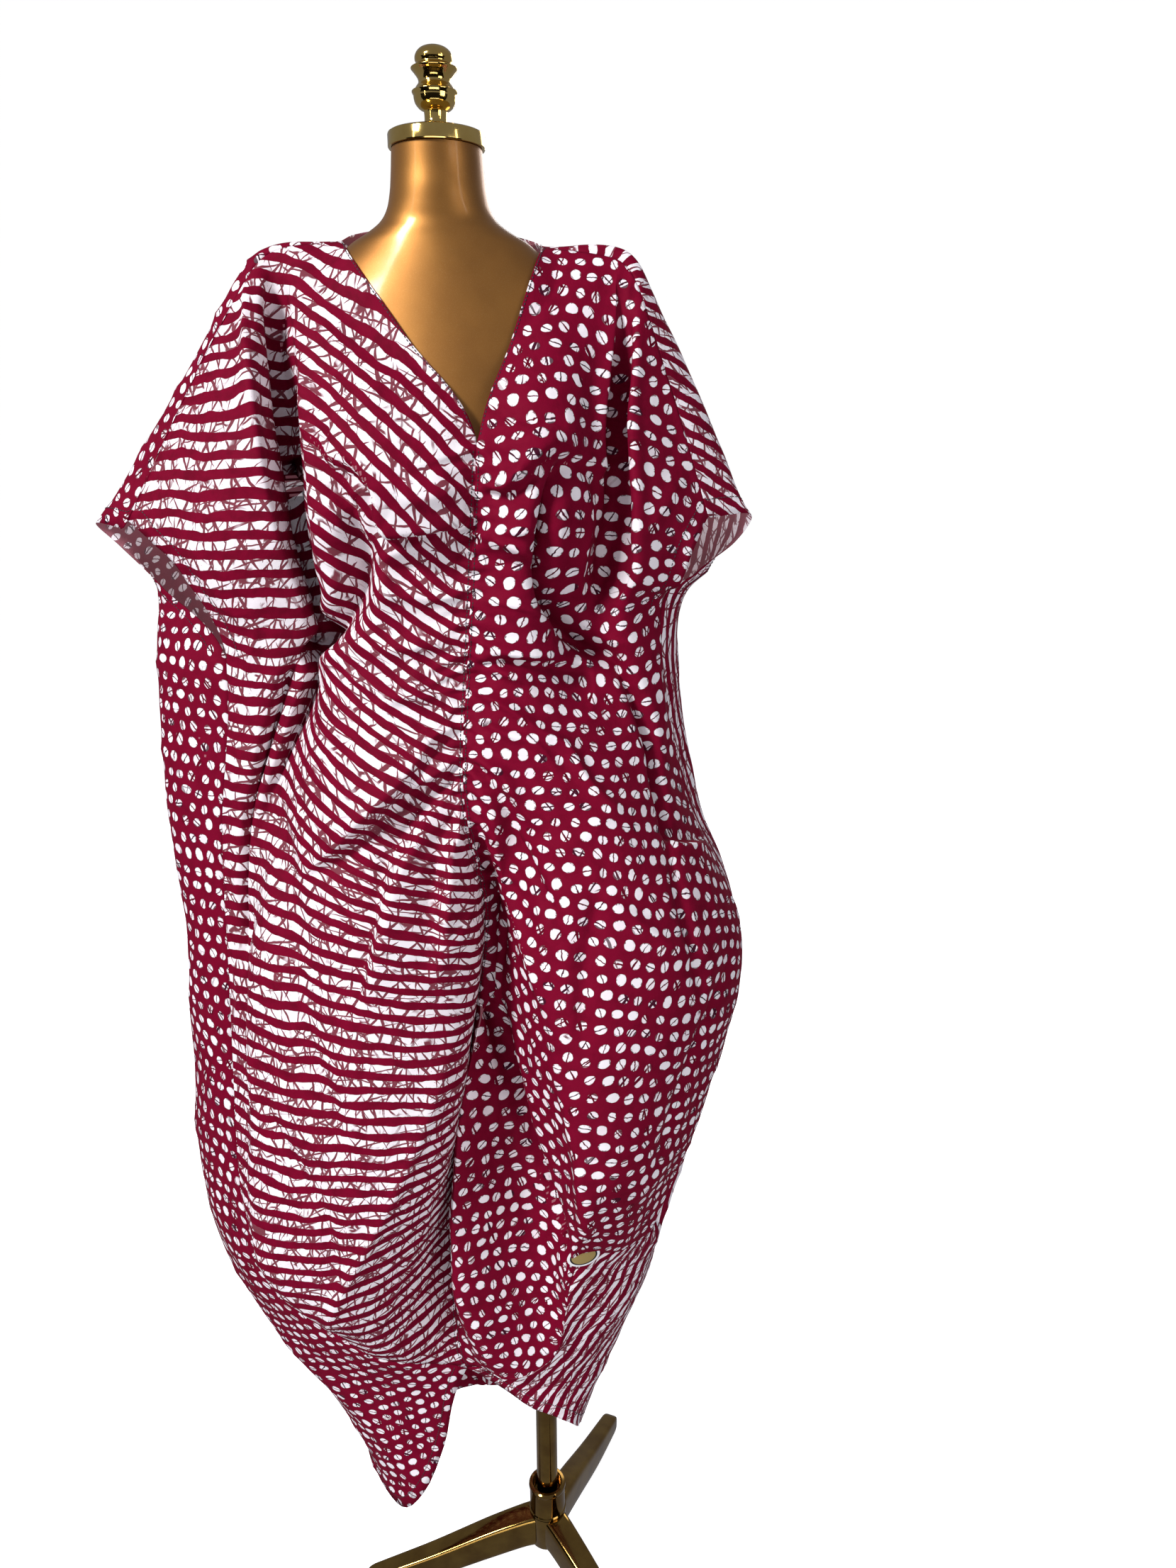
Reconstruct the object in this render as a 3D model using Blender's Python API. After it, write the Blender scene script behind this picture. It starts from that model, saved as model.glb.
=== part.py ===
"""Grand boubou robe of two batik prints, worn by a limbless gold dress form on a brass tripod stand.

The robe has four cloth panels. Left and right are the wearer's. The front is turned to -Y.
Every size is in millimetres until it reaches a mesh, and x and y are counted from the form's own axis.
"""

import math

import bpy
import numpy as np

MM = 0.001

# Cloth
CLOTH_THICKNESS = 2.0
SEAM_GAP = 0.4

# Gathers of the centre front seam, from the bottom of the V down to this row of the front tables
GATHER_END_ROW = 4.75
GATHER_COUNT = 24
GATHER_HEIGHT = 2.4
GATHER_REACH = 70.0

# Folds are evened out this many times, most of all within the reach of the shoulder, side and lower seams
SOFTEN_STEPS = 4
SOFTEN_REACH = 30.0

# The whole part stands with the middle of its plan on the origin
FORM_AXIS_X = 26.0
FORM_AXIS_Y = -18.0

# Stand
POLE_X = 95.0
POLE_RADIUS = 15.0
POLE_FOOT_Z = 108.0
COLLAR_RADIUS = 25.5
COLLAR_HEIGHT = 48.0
HUB_RADIUS = 27.0
HUB_BOTTOM_Z = 54.0
LEG_TOP_Z = 106.0
LEG_REACH = 272.0
LEG_ANGLES = {"leg_back": 68.0, "leg_right": 188.0, "leg_left": 308.0}
FORM_BOTTOM_Z = 1040.0
TOUCH_GAP = 0.3

# Rows of a cloth table run from the shoulder seam down to the lower seam or the hem. Columns are the fold
# lines of the panel, from the centre seam out to the side seam. x is across, y is depth, z is height.
FRONT_ROWS = ("shoulder", "chest", "bust", "waist", "hip", "thigh", "knee", "calf", "lower_seam")
V_BOTTOM_ROW = FRONT_ROWS.index("bust")
UNDERARM_ROW = FRONT_ROWS.index("waist")

# columns: centre, inner, crest, edge, valley, ridge, lobe, side
FRONT_RIGHT = {
    "x": (
        (-104, -120, -138, -156, -166, -176, -232, -351),
        (-28, -60, -98, -134, -150, -165, -232, -326),
        (44, 8, -58, -130, -143, -158, -238, -292),
        (30, 4, -50, -118, -136, -152, -205, -240),
        (22, -8, -76, -160, -205, -224, -246, -263),
        (36, 24, -78, -214, -234, -246, -260, -268),
        (2, -16, -112, -232, -246, -254, -264, -273),
        (-12, -42, -132, -222, -238, -246, -256, -266),
        (-19, -56, -100, -140, -166, -190, -218, -245),
    ),
    "y": (
        (4, 0, -4, -8, -8, -14, -32, -36),
        (-66, -72, -82, -72, -42, -86, -92, -52),
        (-112, -134, -150, -114, -60, -106, -108, -66),
        (-104, -112, -118, -100, -60, -88, -90, -72),
        (-138, -150, -176, -140, -84, -92, -86, -72),
        (-108, -170, -206, -160, -108, -102, -92, -84),
        (-92, -186, -216, -176, -136, -124, -114, -106),
        (-66, -150, -196, -176, -156, -142, -130, -118),
        (-70, -104, -122, -126, -126, -124, -122, -120),
    ),
    "z": (
        (1824, 1824, 1823, 1821, 1816, 1806, 1730, 1529),
        (1722, 1718, 1712, 1694, 1680, 1668, 1600, 1492),
        (1618, 1606, 1582, 1552, 1538, 1530, 1486, 1446),
        (1430, 1426, 1420, 1408, 1402, 1398, 1388, 1385),
        (1262, 1256, 1242, 1222, 1212, 1206, 1200, 1195),
        (1090, 1086, 1066, 1040, 1032, 1030, 1027, 1025),
        (860, 852, 832, 808, 802, 800, 798, 790),
        (640, 640, 640, 648, 660, 674, 694, 716),
        (435, 464, 484, 518, 546, 576, 612, 652),
    ),
}

# columns: centre, inner, fold, crest, edge, valley, ridge, side
FRONT_LEFT = {
    "x": (
        (108, 122, 138, 156, 174, 190, 214, 285),
        (78, 100, 124, 148, 168, 185, 206, 269),
        (44, 76, 104, 130, 150, 180, 206, 256),
        (30, 60, 90, 114, 132, 160, 196, 237),
        (22, 52, 84, 126, 184, 226, 258, 270),
        (36, 50, 62, 114, 214, 292, 340, 342),
        (2, 34, 66, 152, 222, 268, 300, 300),
        (-12, 40, 92, 150, 206, 240, 264, 266),
        (-19, 40, 94, 146, 190, 218, 236, 241),
    ),
    "y": (
        (4, 0, -4, -7, -9, -9, -30, -36),
        (-66, -78, -82, -74, -56, -38, -82, -58),
        (-112, -134, -144, -132, -84, -40, -92, -54),
        (-104, -116, -114, -94, -66, -56, -64, -24),
        (-138, -152, -154, -164, -150, -108, -58, -14),
        (-108, -118, -116, -206, -196, -136, -58, 14),
        (-92, -140, -112, -206, -182, -124, -58, 4),
        (-66, -142, -106, -180, -152, -106, -62, -18),
        (-70, -98, -92, -146, -124, -94, -68, -42),
    ),
    "z": (
        (1817, 1818, 1817, 1815, 1812, 1806, 1754, 1541),
        (1722, 1716, 1704, 1690, 1672, 1652, 1604, 1509),
        (1618, 1602, 1584, 1564, 1536, 1510, 1494, 1472),
        (1430, 1426, 1420, 1414, 1408, 1410, 1418, 1431),
        (1262, 1256, 1250, 1242, 1230, 1222, 1218, 1216),
        (1090, 1080, 1066, 1052, 1044, 1042, 1044, 1046),
        (860, 852, 862, 866, 846, 834, 826, 820),
        (640, 612, 640, 745, 735, 726, 720, 716),
        (435, 428, 452, 664, 650, 642, 638, 636),
    ),
}

# A back panel starts on the shoulder seam, in front of the sleeve's top fold, and turns over it.
# Its side runs down the sleeve hem to the underarm, then along the side seam and the lower seam.
BACK_ROWS = ("seam", "fold", "chest", "bust", "waist", "hip", "thigh", "knee", "calf", "shin", "hem")
BACK_UNDERARM_ROW = BACK_ROWS.index("waist")

# Where the seams meet: front rows against back rows down the side, then front columns against back rows
# along the lower seam
SIDE_MATCH = ((3, 4, 5, 6, 8), (4, 5, 6, 7, 8))
LOWER_MATCH = ((0, 3, 7), (10, 9, 8))

# columns: centre, neck, blade, outer, turn, wrap, side
BACK_RIGHT = {
    "x": (
        (0, -104, -186, -232, -272, -312, -351),
        (0, -106, -192, -254, -304, -352, -396),
        (0, -104, -194, -272, -330, -362, -376),
        (0, -100, -194, -284, -344, -352, -332),
        (0, -98, -192, -296, -360, -306, -240),
        (0, -98, -196, -304, -358, -318, -263),
        (0, -94, -194, -302, -347, -314, -268),
        (0, -92, -190, -310, -365, -322, -273),
        (-2, -80, -166, -272, -340, -308, -245),
        (-3, -66, -132, -216, -256, -212, -166),
        (-4, -44, -82, -118, -106, -51, -19),
    ),
    "y": (
        (76, 4, -14, -32, -36, -37, -36),
        (92, 26, 8, 4, 2, 0, -2),
        (114, 102, 84, 62, 44, 28, 10),
        (134, 134, 122, 92, 54, 26, 2),
        (124, 132, 130, 92, 16, -40, -72),
        (150, 158, 148, 88, 0, -50, -72),
        (154, 160, 148, 84, -8, -62, -84),
        (138, 148, 136, 80, 0, -66, -106),
        (130, 138, 126, 72, -2, -76, -120),
        (124, 126, 110, 60, -10, -80, -126),
        (118, 112, 86, 38, -40, -50, -70),
    ),
    "z": (
        (1836, 1824, 1806, 1730, 1662, 1594, 1529),
        (1818, 1814, 1803, 1728, 1660, 1592, 1533),
        (1752, 1742, 1690, 1622, 1570, 1530, 1506),
        (1592, 1576, 1540, 1500, 1476, 1464, 1462),
        (1420, 1412, 1402, 1392, 1386, 1384, 1385),
        (1200, 1200, 1198, 1194, 1190, 1190, 1195),
        (990, 990, 994, 1002, 1008, 1014, 1025),
        (740, 752, 768, 784, 792, 794, 790),
        (540, 546, 560, 580, 604, 630, 652),
        (370, 372, 374, 384, 412, 470, 546),
        (216, 200, 176, 150, 157, 258, 435),
    ),
}

# columns: centre, neck, blade, outer, turn, wrap, side
BACK_LEFT = {
    "x": (
        (0, 108, 190, 214, 238, 262, 285),
        (0, 110, 198, 236, 272, 306, 337),
        (0, 106, 198, 254, 294, 318, 322),
        (0, 100, 196, 256, 290, 296, 278),
        (0, 96, 190, 244, 264, 256, 237),
        (0, 98, 194, 262, 284, 280, 270),
        (0, 96, 196, 292, 338, 344, 342),
        (0, 94, 190, 268, 298, 302, 300),
        (-2, 84, 168, 236, 258, 256, 241),
        (-3, 66, 130, 190, 228, 206, 146),
        (-4, 44, 92, 136, 152, 90, -19),
    ),
    "y": (
        (76, 4, -9, -30, -34, -36, -36),
        (92, 26, 8, 4, 2, 0, -2),
        (114, 102, 84, 62, 44, 26, 8),
        (134, 134, 120, 84, 50, 24, -2),
        (124, 132, 126, 82, 34, 2, -24),
        (150, 158, 146, 88, 36, 8, -14),
        (154, 160, 150, 104, 62, 36, 14),
        (138, 148, 136, 92, 46, 22, 4),
        (130, 138, 124, 76, 28, -8, -42),
        (124, 126, 106, 50, -10, -66, -146),
        (118, 110, 80, 20, -42, -60, -70),
    ),
    "z": (
        (1836, 1817, 1806, 1754, 1684, 1612, 1541),
        (1818, 1812, 1803, 1748, 1678, 1608, 1543),
        (1752, 1742, 1690, 1624, 1566, 1530, 1512),
        (1592, 1576, 1540, 1506, 1486, 1478, 1478),
        (1420, 1414, 1408, 1410, 1416, 1424, 1431),
        (1200, 1202, 1206, 1212, 1216, 1216, 1216),
        (990, 996, 1008, 1024, 1036, 1042, 1046),
        (740, 752, 770, 792, 808, 816, 820),
        (540, 548, 560, 586, 608, 624, 636),
        (370, 376, 388, 416, 470, 530, 664),
        (216, 212, 216, 250, 302, 356, 435),
    ),
}

# Sections of the dress form: height, half width, depth to the front, depth to the back, squareness
FORM_SECTIONS = (
    (1903, 46, 46, 46, 2.0),
    (1885, 47, 46, 47, 2.0),
    (1868, 49, 47, 50, 2.0),
    (1850, 56, 47, 53, 2.0),
    (1838, 66, 46, 56, 1.9),
    (1828, 80, 45, 58, 1.8),
    (1819, 91, 42, 60, 1.7),
    (1808, 104, 42, 62, 1.7),
    (1794, 122, 44, 66, 1.7),
    (1772, 144, 50, 72, 1.8),
    (1744, 160, 58, 78, 1.9),
    (1710, 168, 68, 84, 2.0),
    (1660, 160, 86, 90, 2.1),
    (1610, 152, 100, 90, 2.2),
    (1570, 148, 106, 88, 2.2),
    (1520, 136, 100, 84, 2.2),
    (1470, 122, 86, 80, 2.2),
    (1420, 114, 80, 78, 2.2),
    (1370, 120, 82, 84, 2.2),
    (1300, 142, 90, 98, 2.3),
    (1220, 160, 96, 106, 2.3),
    (1140, 160, 94, 102, 2.3),
    (1080, 154, 88, 96, 2.3),
    (FORM_BOTTOM_Z, 146, 82, 90, 2.3),
)
FORM_CLEARANCE = 5.3

# Turned profiles: radius, height above the piece's own foot
CAP_FOOT_Z = 1903.4
CAP_PROFILE = ((48.5, 0), (49.5, 1.5), (49.5, 14), (47.5, 17), (30, 20.5), (13, 23), (0, 23.4))
FINIAL_PROFILE = (
    (12.5, 0),
    (11, 2),
    (11, 12),
    (15, 15),
    (19.5, 20),
    (21, 26),
    (22.5, 30.5),
    (21.5, 33.5),
    (17, 37.5),
    (17.5, 42),
    (22.5, 46),
    (21.5, 49.5),
    (18.5, 51),
    (19.3, 56),
    (17, 62),
    (11, 67),
    (4.5, 69.4),
    (0, 70),
)


def material(name, colour, roughness, metallic):
    """A Principled material of one colour."""
    made = bpy.data.materials.new(name)
    made.use_nodes = True
    shader = made.node_tree.nodes["Principled BSDF"]
    shader.inputs["Base Color"].default_value = (*colour, 1.0)
    shader.inputs["Roughness"].default_value = roughness
    shader.inputs["Metallic"].default_value = metallic
    made.diffuse_color = (*colour, 1.0)
    return made


def add_piece(name, vertices, faces, finish, parent, smooth_angle=40.0):
    """One named object from millimetre points, shaded smooth except over sharp edges."""
    mesh = bpy.data.meshes.new(name)
    mesh.from_pydata((np.asarray(vertices, float) * MM).tolist(), [], faces)
    mesh.materials.append(finish)
    mesh.update()
    mesh.shade_smooth()
    mesh.set_sharp_from_angle(angle=math.radians(smooth_angle))
    piece = bpy.data.objects.new(name, mesh)
    bpy.context.scene.collection.objects.link(piece)
    piece.parent = parent
    return piece


def through(values, places):
    """A smooth curve through the rows of values, read at places counted in rows.

    Each stretch is a cubic whose slope at a row is half the step between its neighbours.
    """
    values = np.asarray(values, float)
    last = len(values) - 1
    slopes = np.empty_like(values)
    slopes[1:-1] = (values[2:] - values[:-2]) / 2
    slopes[0] = values[1] - values[0]
    slopes[-1] = values[-1] - values[-2]
    places = np.clip(np.asarray(places, float), 0, last)
    row = np.minimum(places.astype(int), last - 1)
    part = (places - row).reshape((-1,) + (1,) * (values.ndim - 1))
    start, end = values[row], values[row + 1]
    return (
        start * (1 + 2 * part) * (1 - part) ** 2
        + slopes[row] * part * (1 - part) ** 2
        + end * part**2 * (3 - 2 * part)
        - slopes[row + 1] * part**2 * (1 - part)
    )


def cloth_grid(table, down, across):
    """Points of a panel at the rows in down and the fold lines in across, both counted in table cells."""
    axes = []
    for axis in ("x", "y", "z"):
        by_row = through(table[axis], down)
        if table is FRONT_RIGHT or table is FRONT_LEFT:
            # the two fronts share the centre seam, so its curve starts afresh at the bottom of the V
            seam = down >= V_BOTTOM_ROW
            below = np.asarray(table[axis], float)[V_BOTTOM_ROW:, 0]
            by_row[seam, 0] = through(below, down[seam] - V_BOTTOM_ROW)
        axes.append(through(by_row.T, across).T)
    return np.stack(axes, axis=-1)


def gathers(points, down):
    """How far forwards the gathers of the centre seam push each point: waves that die away across the panel."""
    share = (down - V_BOTTOM_ROW) / (GATHER_END_ROW - V_BOTTOM_ROW)
    wave = np.where((share > 0) & (share < 1), np.cos(2 * math.pi * GATHER_COUNT * share), 0.0)
    away = np.linalg.norm(points - points[:, :1], axis=-1)
    return GATHER_HEIGHT * wave[:, None] * np.exp(-((away / GATHER_REACH) ** 2))


def clear_of_form(points, front):
    """Moves points that would be inside the form, or too near it, forwards or backwards off it."""
    sections = np.array(FORM_SECTIONS)[::-1]
    height = points[..., 2]
    half, fore, aft, square = (np.interp(height, sections[:, 0], sections[:, k]) for k in range(1, 5))
    depth = (fore if front else aft) + FORM_CLEARANCE
    side = np.clip(np.abs(points[..., 0]) / (half + FORM_CLEARANCE), 0, 1)
    surface = depth * (1 - side**square) ** (1 / square)
    inside = (side < 1) & (height < FORM_SECTIONS[4][0]) & (height > FORM_BOTTOM_Z - 30)
    moved = points.copy()
    if front:
        moved[..., 1] = np.where(inside, np.minimum(points[..., 1], -surface), points[..., 1])
    else:
        moved[..., 1] = np.where(inside, np.maximum(points[..., 1], surface), points[..., 1])
    return moved


class Panel:
    """One cloth panel: the points and triangles of its outer face, and its seams as lists of points."""

    def __init__(self):
        self.points = np.zeros((0, 3))
        self.triangles = []
        self.seams = {}
        self.front = False
        self.raised = None
        self.back_rows = None

    def add_points(self, points):
        """Adds a grid or a line of points and returns their numbers in the same shape."""
        first = len(self.points)
        self.points = np.concatenate([self.points, points.reshape(-1, 3)])
        return np.arange(first, len(self.points)).reshape(points.shape[:-1])

    def fill(self, numbers):
        """Triangles over a grid of point numbers."""
        for i in range(numbers.shape[0] - 1):
            for j in range(numbers.shape[1] - 1):
                a, b = numbers[i, j], numbers[i, j + 1]
                c, d = numbers[i + 1, j + 1], numbers[i + 1, j]
                self.triangles += split(self.points, a, b, c, d)

    def bridge(self, left, right, at_left, at_right):
        """Triangles between two lines of points that run the same way, matched by their places along them."""
        i = j = 0
        while i < len(left) - 1 or j < len(right) - 1:
            next_left = at_left[i + 1] if i < len(left) - 1 else math.inf
            next_right = at_right[j + 1] if j < len(right) - 1 else math.inf
            if next_left <= next_right:
                self.triangles.append((left[i], right[j], left[i + 1]))
                i += 1
            else:
                self.triangles.append((left[i], right[j], right[j + 1]))
                j += 1

    def normals(self):
        """Unit normals of the outer face at its points."""
        corners = self.points[np.array(self.triangles)]
        face = np.cross(corners[:, 1] - corners[:, 0], corners[:, 2] - corners[:, 0])
        total = np.zeros_like(self.points)
        for k in range(3):
            np.add.at(total, np.array(self.triangles)[:, k], face)
        return total

    def rim(self):
        """Edges of the outer face that have a triangle on one side only, in the order of that triangle."""
        sides = set()
        for a, b, c in self.triangles:
            sides.update(((a, b), (b, c), (c, a)))
        return [(a, b) for a, b in sides if (b, a) not in sides]


def shares(line):
    """How far along its length each point of a line is, from 0 to 1."""
    run = np.concatenate([[0.0], np.cumsum(np.linalg.norm(np.diff(line, axis=0), axis=1))])
    return run / run[-1]


def split(points, a, b, c, d):
    """Two triangles for a quad, cut along its shorter diagonal."""
    if np.linalg.norm(points[a] - points[c]) <= np.linalg.norm(points[b] - points[d]):
        return [(a, b, c), (a, c, d)]
    return [(a, b, d), (b, c, d)]


def facing_out(vertices, faces):
    """The faces, turned over if the volume that they close is negative."""
    corners = vertices[np.array(faces)]
    volume = np.einsum("ij,ij->i", corners[:, 0], np.cross(corners[:, 1], corners[:, 2])).sum()
    return faces if volume > 0 else [tuple(reversed(face)) for face in faces]


def front_panel(table, side):
    """A front panel: close rows next to the gathered seam and wider ones beyond them."""
    above = np.array((0, 0.08, 0.18, 0.3, 0.45, 0.62, 0.8, 1, 1.25, 1.5, 1.75))
    gathered = np.linspace(V_BOTTOM_ROW, GATHER_END_ROW, 2 * GATHER_COUNT + 1)
    below = np.linspace(GATHER_END_ROW, len(FRONT_ROWS) - 1, 16)[1:]
    close_rows = np.concatenate([above, gathered, below])
    wide_rows = np.concatenate([(0, 0.08, 0.18, 0.32, 0.5, 0.75), np.linspace(1, len(FRONT_ROWS) - 1, 29)])
    last = len(table["x"][0]) - 1
    columns = np.linspace(0, last, 2 * last + 1)
    inner_count = 5
    close = cloth_grid(table, close_rows, columns[:inner_count])
    wide = cloth_grid(table, wide_rows, columns[inner_count:])
    panel = Panel()
    panel.front = True
    near = panel.add_points(clear_of_form(close, True))
    far = panel.add_points(clear_of_form(wide, True))
    panel.raised = np.zeros(len(panel.points))
    panel.raised[near] = gathers(close, close_rows)
    panel.fill(near)
    panel.bridge(near[:, -1], far[:, 0], close_rows, wide_rows)
    panel.fill(far)
    panel.seams["centre"] = near[close_rows >= V_BOTTOM_ROW - 1e-6, 0]
    panel.seams["shoulder"] = np.concatenate([near[0], far[0]])
    sewn = wide_rows >= UNDERARM_ROW - 1e-6
    lower_line = np.concatenate([near[-1], far[-1]])[::-1]
    panel.seams["side"] = np.concatenate([far[sewn, -1], lower_line[1:]])
    down_side = np.interp(wide_rows[sewn], *SIDE_MATCH)
    along_lower = np.interp(columns[::-1][1:], *LOWER_MATCH)
    panel.back_rows = np.concatenate([down_side, along_lower])
    if side > 0:
        panel.triangles = [(a, c, b) for a, b, c in panel.triangles]
    return panel


def back_panel(table, side, front):
    """A back panel, whose shoulder and side take their points from the front panel's seams."""
    shoulder = front.points[front.seams["shoulder"]]
    edge = front.points[front.seams["side"]]
    last = len(table["x"][0]) - 1
    columns = np.concatenate([np.linspace(0, 1, 4)[:-1], np.linspace(1, last, 13)])
    rows = np.concatenate([np.linspace(0, 1, 3)[1:-1], np.linspace(1, len(BACK_ROWS) - 1, 28)])
    grid = clear_of_form(cloth_grid(table, rows, columns), False)
    neck = cloth_grid(table, np.zeros(1), columns[:3])[0]
    sewn = np.flatnonzero(rows >= BACK_UNDERARM_ROW - 1e-6)[0]
    panel = Panel()
    numbers = panel.add_points(grid[:, :-1])
    free = panel.add_points(grid[:sewn, -1])
    top = panel.add_points(np.concatenate([neck, shoulder]))
    line = panel.add_points(edge)
    panel.fill(numbers)
    at_top = np.concatenate([columns[:3], 1 + (last - 1) * shares(shoulder)])
    panel.bridge(np.append(numbers[0], free[0]), top, columns, at_top)
    side_line = np.concatenate([free, line])
    panel.bridge(numbers[:, -1], side_line, rows, np.concatenate([rows[:sewn], front.back_rows]))
    panel.seams["centre"] = np.append(top[0], numbers[:, 0])
    panel.seams["shoulder"] = top[3:]
    panel.seams["side"] = line
    if side < 0:
        panel.triangles = [(a, c, b) for a, b, c in panel.triangles]
    return panel


def soften(panels):
    """Evens out the folds, most of all next to the sewn edges. Open edges stay where they are."""
    places, numbers = {}, {}
    for name, panel in panels.items():
        keys = [tuple(np.round(point, 2)) for point in panel.points]
        numbers[name] = np.array([places.setdefault(key, len(places)) for key in keys])
    points = np.array(list(places), float)
    edges = {}
    for name, panel in panels.items():
        for triangle in numbers[name][np.array(panel.triangles)]:
            for a, b in zip(triangle, np.roll(triangle, -1)):
                edge = (min(a, b), max(a, b))
                edges[edge] = edges.get(edge, 0) + 1
    pairs = np.array(list(edges))
    still = np.unique(pairs[np.array(list(edges.values())) == 1])
    sewn = [panel.points[np.concatenate([panel.seams["shoulder"], panel.seams["side"]])] for panel in panels.values()]
    sewn = np.concatenate(sewn)
    near = np.array([np.linalg.norm(sewn - point, axis=1).min() for point in points])
    strength = (0.2 + 0.3 * np.exp(-((near / SOFTEN_REACH) ** 2)))[:, None]
    for _ in range(SOFTEN_STEPS):
        weight = 1 / np.linalg.norm(points[pairs[:, 0]] - points[pairs[:, 1]], axis=1)
        total, share = np.zeros_like(points), np.zeros(len(points))
        for here, there in ((0, 1), (1, 0)):
            np.add.at(total, pairs[:, here], points[pairs[:, there]] * weight[:, None])
            np.add.at(share, pairs[:, here], weight)
        moved = points + (total / share[:, None] - points) * strength
        moved[still] = points[still]
        points = moved
    for name, panel in panels.items():
        panel.points = points[numbers[name]]
        seamed = np.concatenate(list(panel.seams.values()))
        cleared = clear_of_form(panel.points, panel.front)
        cleared[seamed] = panel.points[seamed]
        panel.points = cleared
        if panel.front:
            panel.points[:, 1] -= panel.raised


def wall(panel, normals):
    """A closed wall: the outer face, the same face one thickness further in, and the rim between them."""
    inner = panel.points - normals * CLOTH_THICKNESS
    count = len(panel.points)
    pull, edges = np.zeros_like(panel.points), np.zeros(count)
    rim = panel.rim()
    sewn = set(np.concatenate(list(panel.seams.values())).tolist())
    for a, b in rim:
        if a in sewn and b in sewn:
            inwards = np.cross(normals[a] + normals[b], panel.points[b] - panel.points[a])
            for end in (a, b):
                pull[end] += inwards / max(np.linalg.norm(inwards), 1e-9)
                edges[end] += 1
    length = np.maximum((pull**2).sum(axis=1), 1e-9)
    shift = pull * (edges / length * SEAM_GAP / 2)[:, None]
    for seam in panel.seams.values():
        shift[seam[[0, -1]]] *= 3
    vertices = np.concatenate([panel.points + shift, inner + shift])
    faces = list(panel.triangles)
    faces += [(count + a, count + c, count + b) for a, b, c in panel.triangles]
    for a, b in rim:
        faces.append((b, a, count + a))
        faces.append((b, count + a, count + b))
    return vertices, faces


def shared_normals(panels):
    """Unit normals for all panels, the same on both sides of a seam."""
    totals = {}
    raw = {name: panel.normals() for name, panel in panels.items()}
    for name, panel in panels.items():
        for number in np.unique(np.concatenate(list(panel.seams.values()))):
            key = tuple(np.round(panel.points[number], 2))
            totals[key] = totals.get(key, 0) + raw[name][number]
    for name, panel in panels.items():
        for number in np.unique(np.concatenate(list(panel.seams.values()))):
            raw[name][number] = totals[tuple(np.round(panel.points[number], 2))]
        raw[name] /= np.linalg.norm(raw[name], axis=1, keepdims=True)
    return raw


def robe(parent):
    """The four panels of the robe."""
    striped = material("striped_batik", (0.62, 0.36, 0.42), 0.75, 0.0)
    dotted = material("dotted_batik", (0.36, 0.02, 0.07), 0.75, 0.0)
    front_right = front_panel(FRONT_RIGHT, -1)
    front_left = front_panel(FRONT_LEFT, 1)
    panels = {
        "front_right_panel": front_right,
        "front_left_panel": front_left,
        "back_right_panel": back_panel(BACK_RIGHT, -1, front_right),
        "back_left_panel": back_panel(BACK_LEFT, 1, front_left),
    }
    soften(panels)
    normals = shared_normals(panels)
    for name, panel in panels.items():
        finish = striped if name in ("front_right_panel", "back_left_panel") else dotted
        vertices, faces = wall(panel, normals[name])
        add_piece(name, vertices, faces, finish, parent, 60.0)


def stacked_rings(rings):
    """A closed solid through equal rings of points, with flat fans for its two ends."""
    rings = np.asarray(rings, float)
    count, around = rings.shape[:2]
    ends = np.stack([rings[0].mean(0), rings[-1].mean(0)])
    vertices = np.concatenate([rings.reshape(-1, 3), ends])
    faces = []
    for i in range(count - 1):
        for j in range(around):
            a, b = i * around + j, i * around + (j + 1) % around
            faces += split(vertices, a, b, b + around, a + around)
    for j in range(around):
        after = (j + 1) % around
        faces.append((count * around, after, j))
        last = (count - 1) * around
        faces.append((count * around + 1, last + j, last + after))
    return vertices, facing_out(vertices, faces)


def torso(parent, finish):
    """The form: rounded sections of the neck, shoulders, waist and hips, cut flat below."""
    around = 32
    steps = np.linspace(0, len(FORM_SECTIONS) - 1, 40)
    rings = []
    for height, half_width, front, back, squareness in through(FORM_SECTIONS, steps):
        angle = np.linspace(0, 2 * math.pi, around, endpoint=False)
        power = 2 / squareness
        across = np.sign(np.cos(angle)) * np.abs(np.cos(angle)) ** power * half_width
        deep = np.sign(np.sin(angle)) * np.abs(np.sin(angle)) ** power
        deep = np.where(deep < 0, deep * front, deep * back)
        rings.append(np.stack([across, deep, np.full(around, height)], axis=-1))
    vertices, faces = stacked_rings(rings)
    add_piece("dress_form", vertices, faces, finish, parent)


def turned(name, profile, foot, x, finish, parent, around=24):
    """A turned piece: the profile swept round the upright line at x, closed below and above."""
    angle = np.linspace(0, 2 * math.pi, around, endpoint=False)
    rings = []
    for radius, height in profile:
        if radius > 0:
            ring = [np.cos(angle) * radius + x, np.sin(angle) * radius, np.full(around, foot + height)]
            rings.append(np.stack(ring, axis=-1))
    vertices, faces = stacked_rings(rings)
    add_piece(name, vertices, faces, finish, parent)


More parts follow.
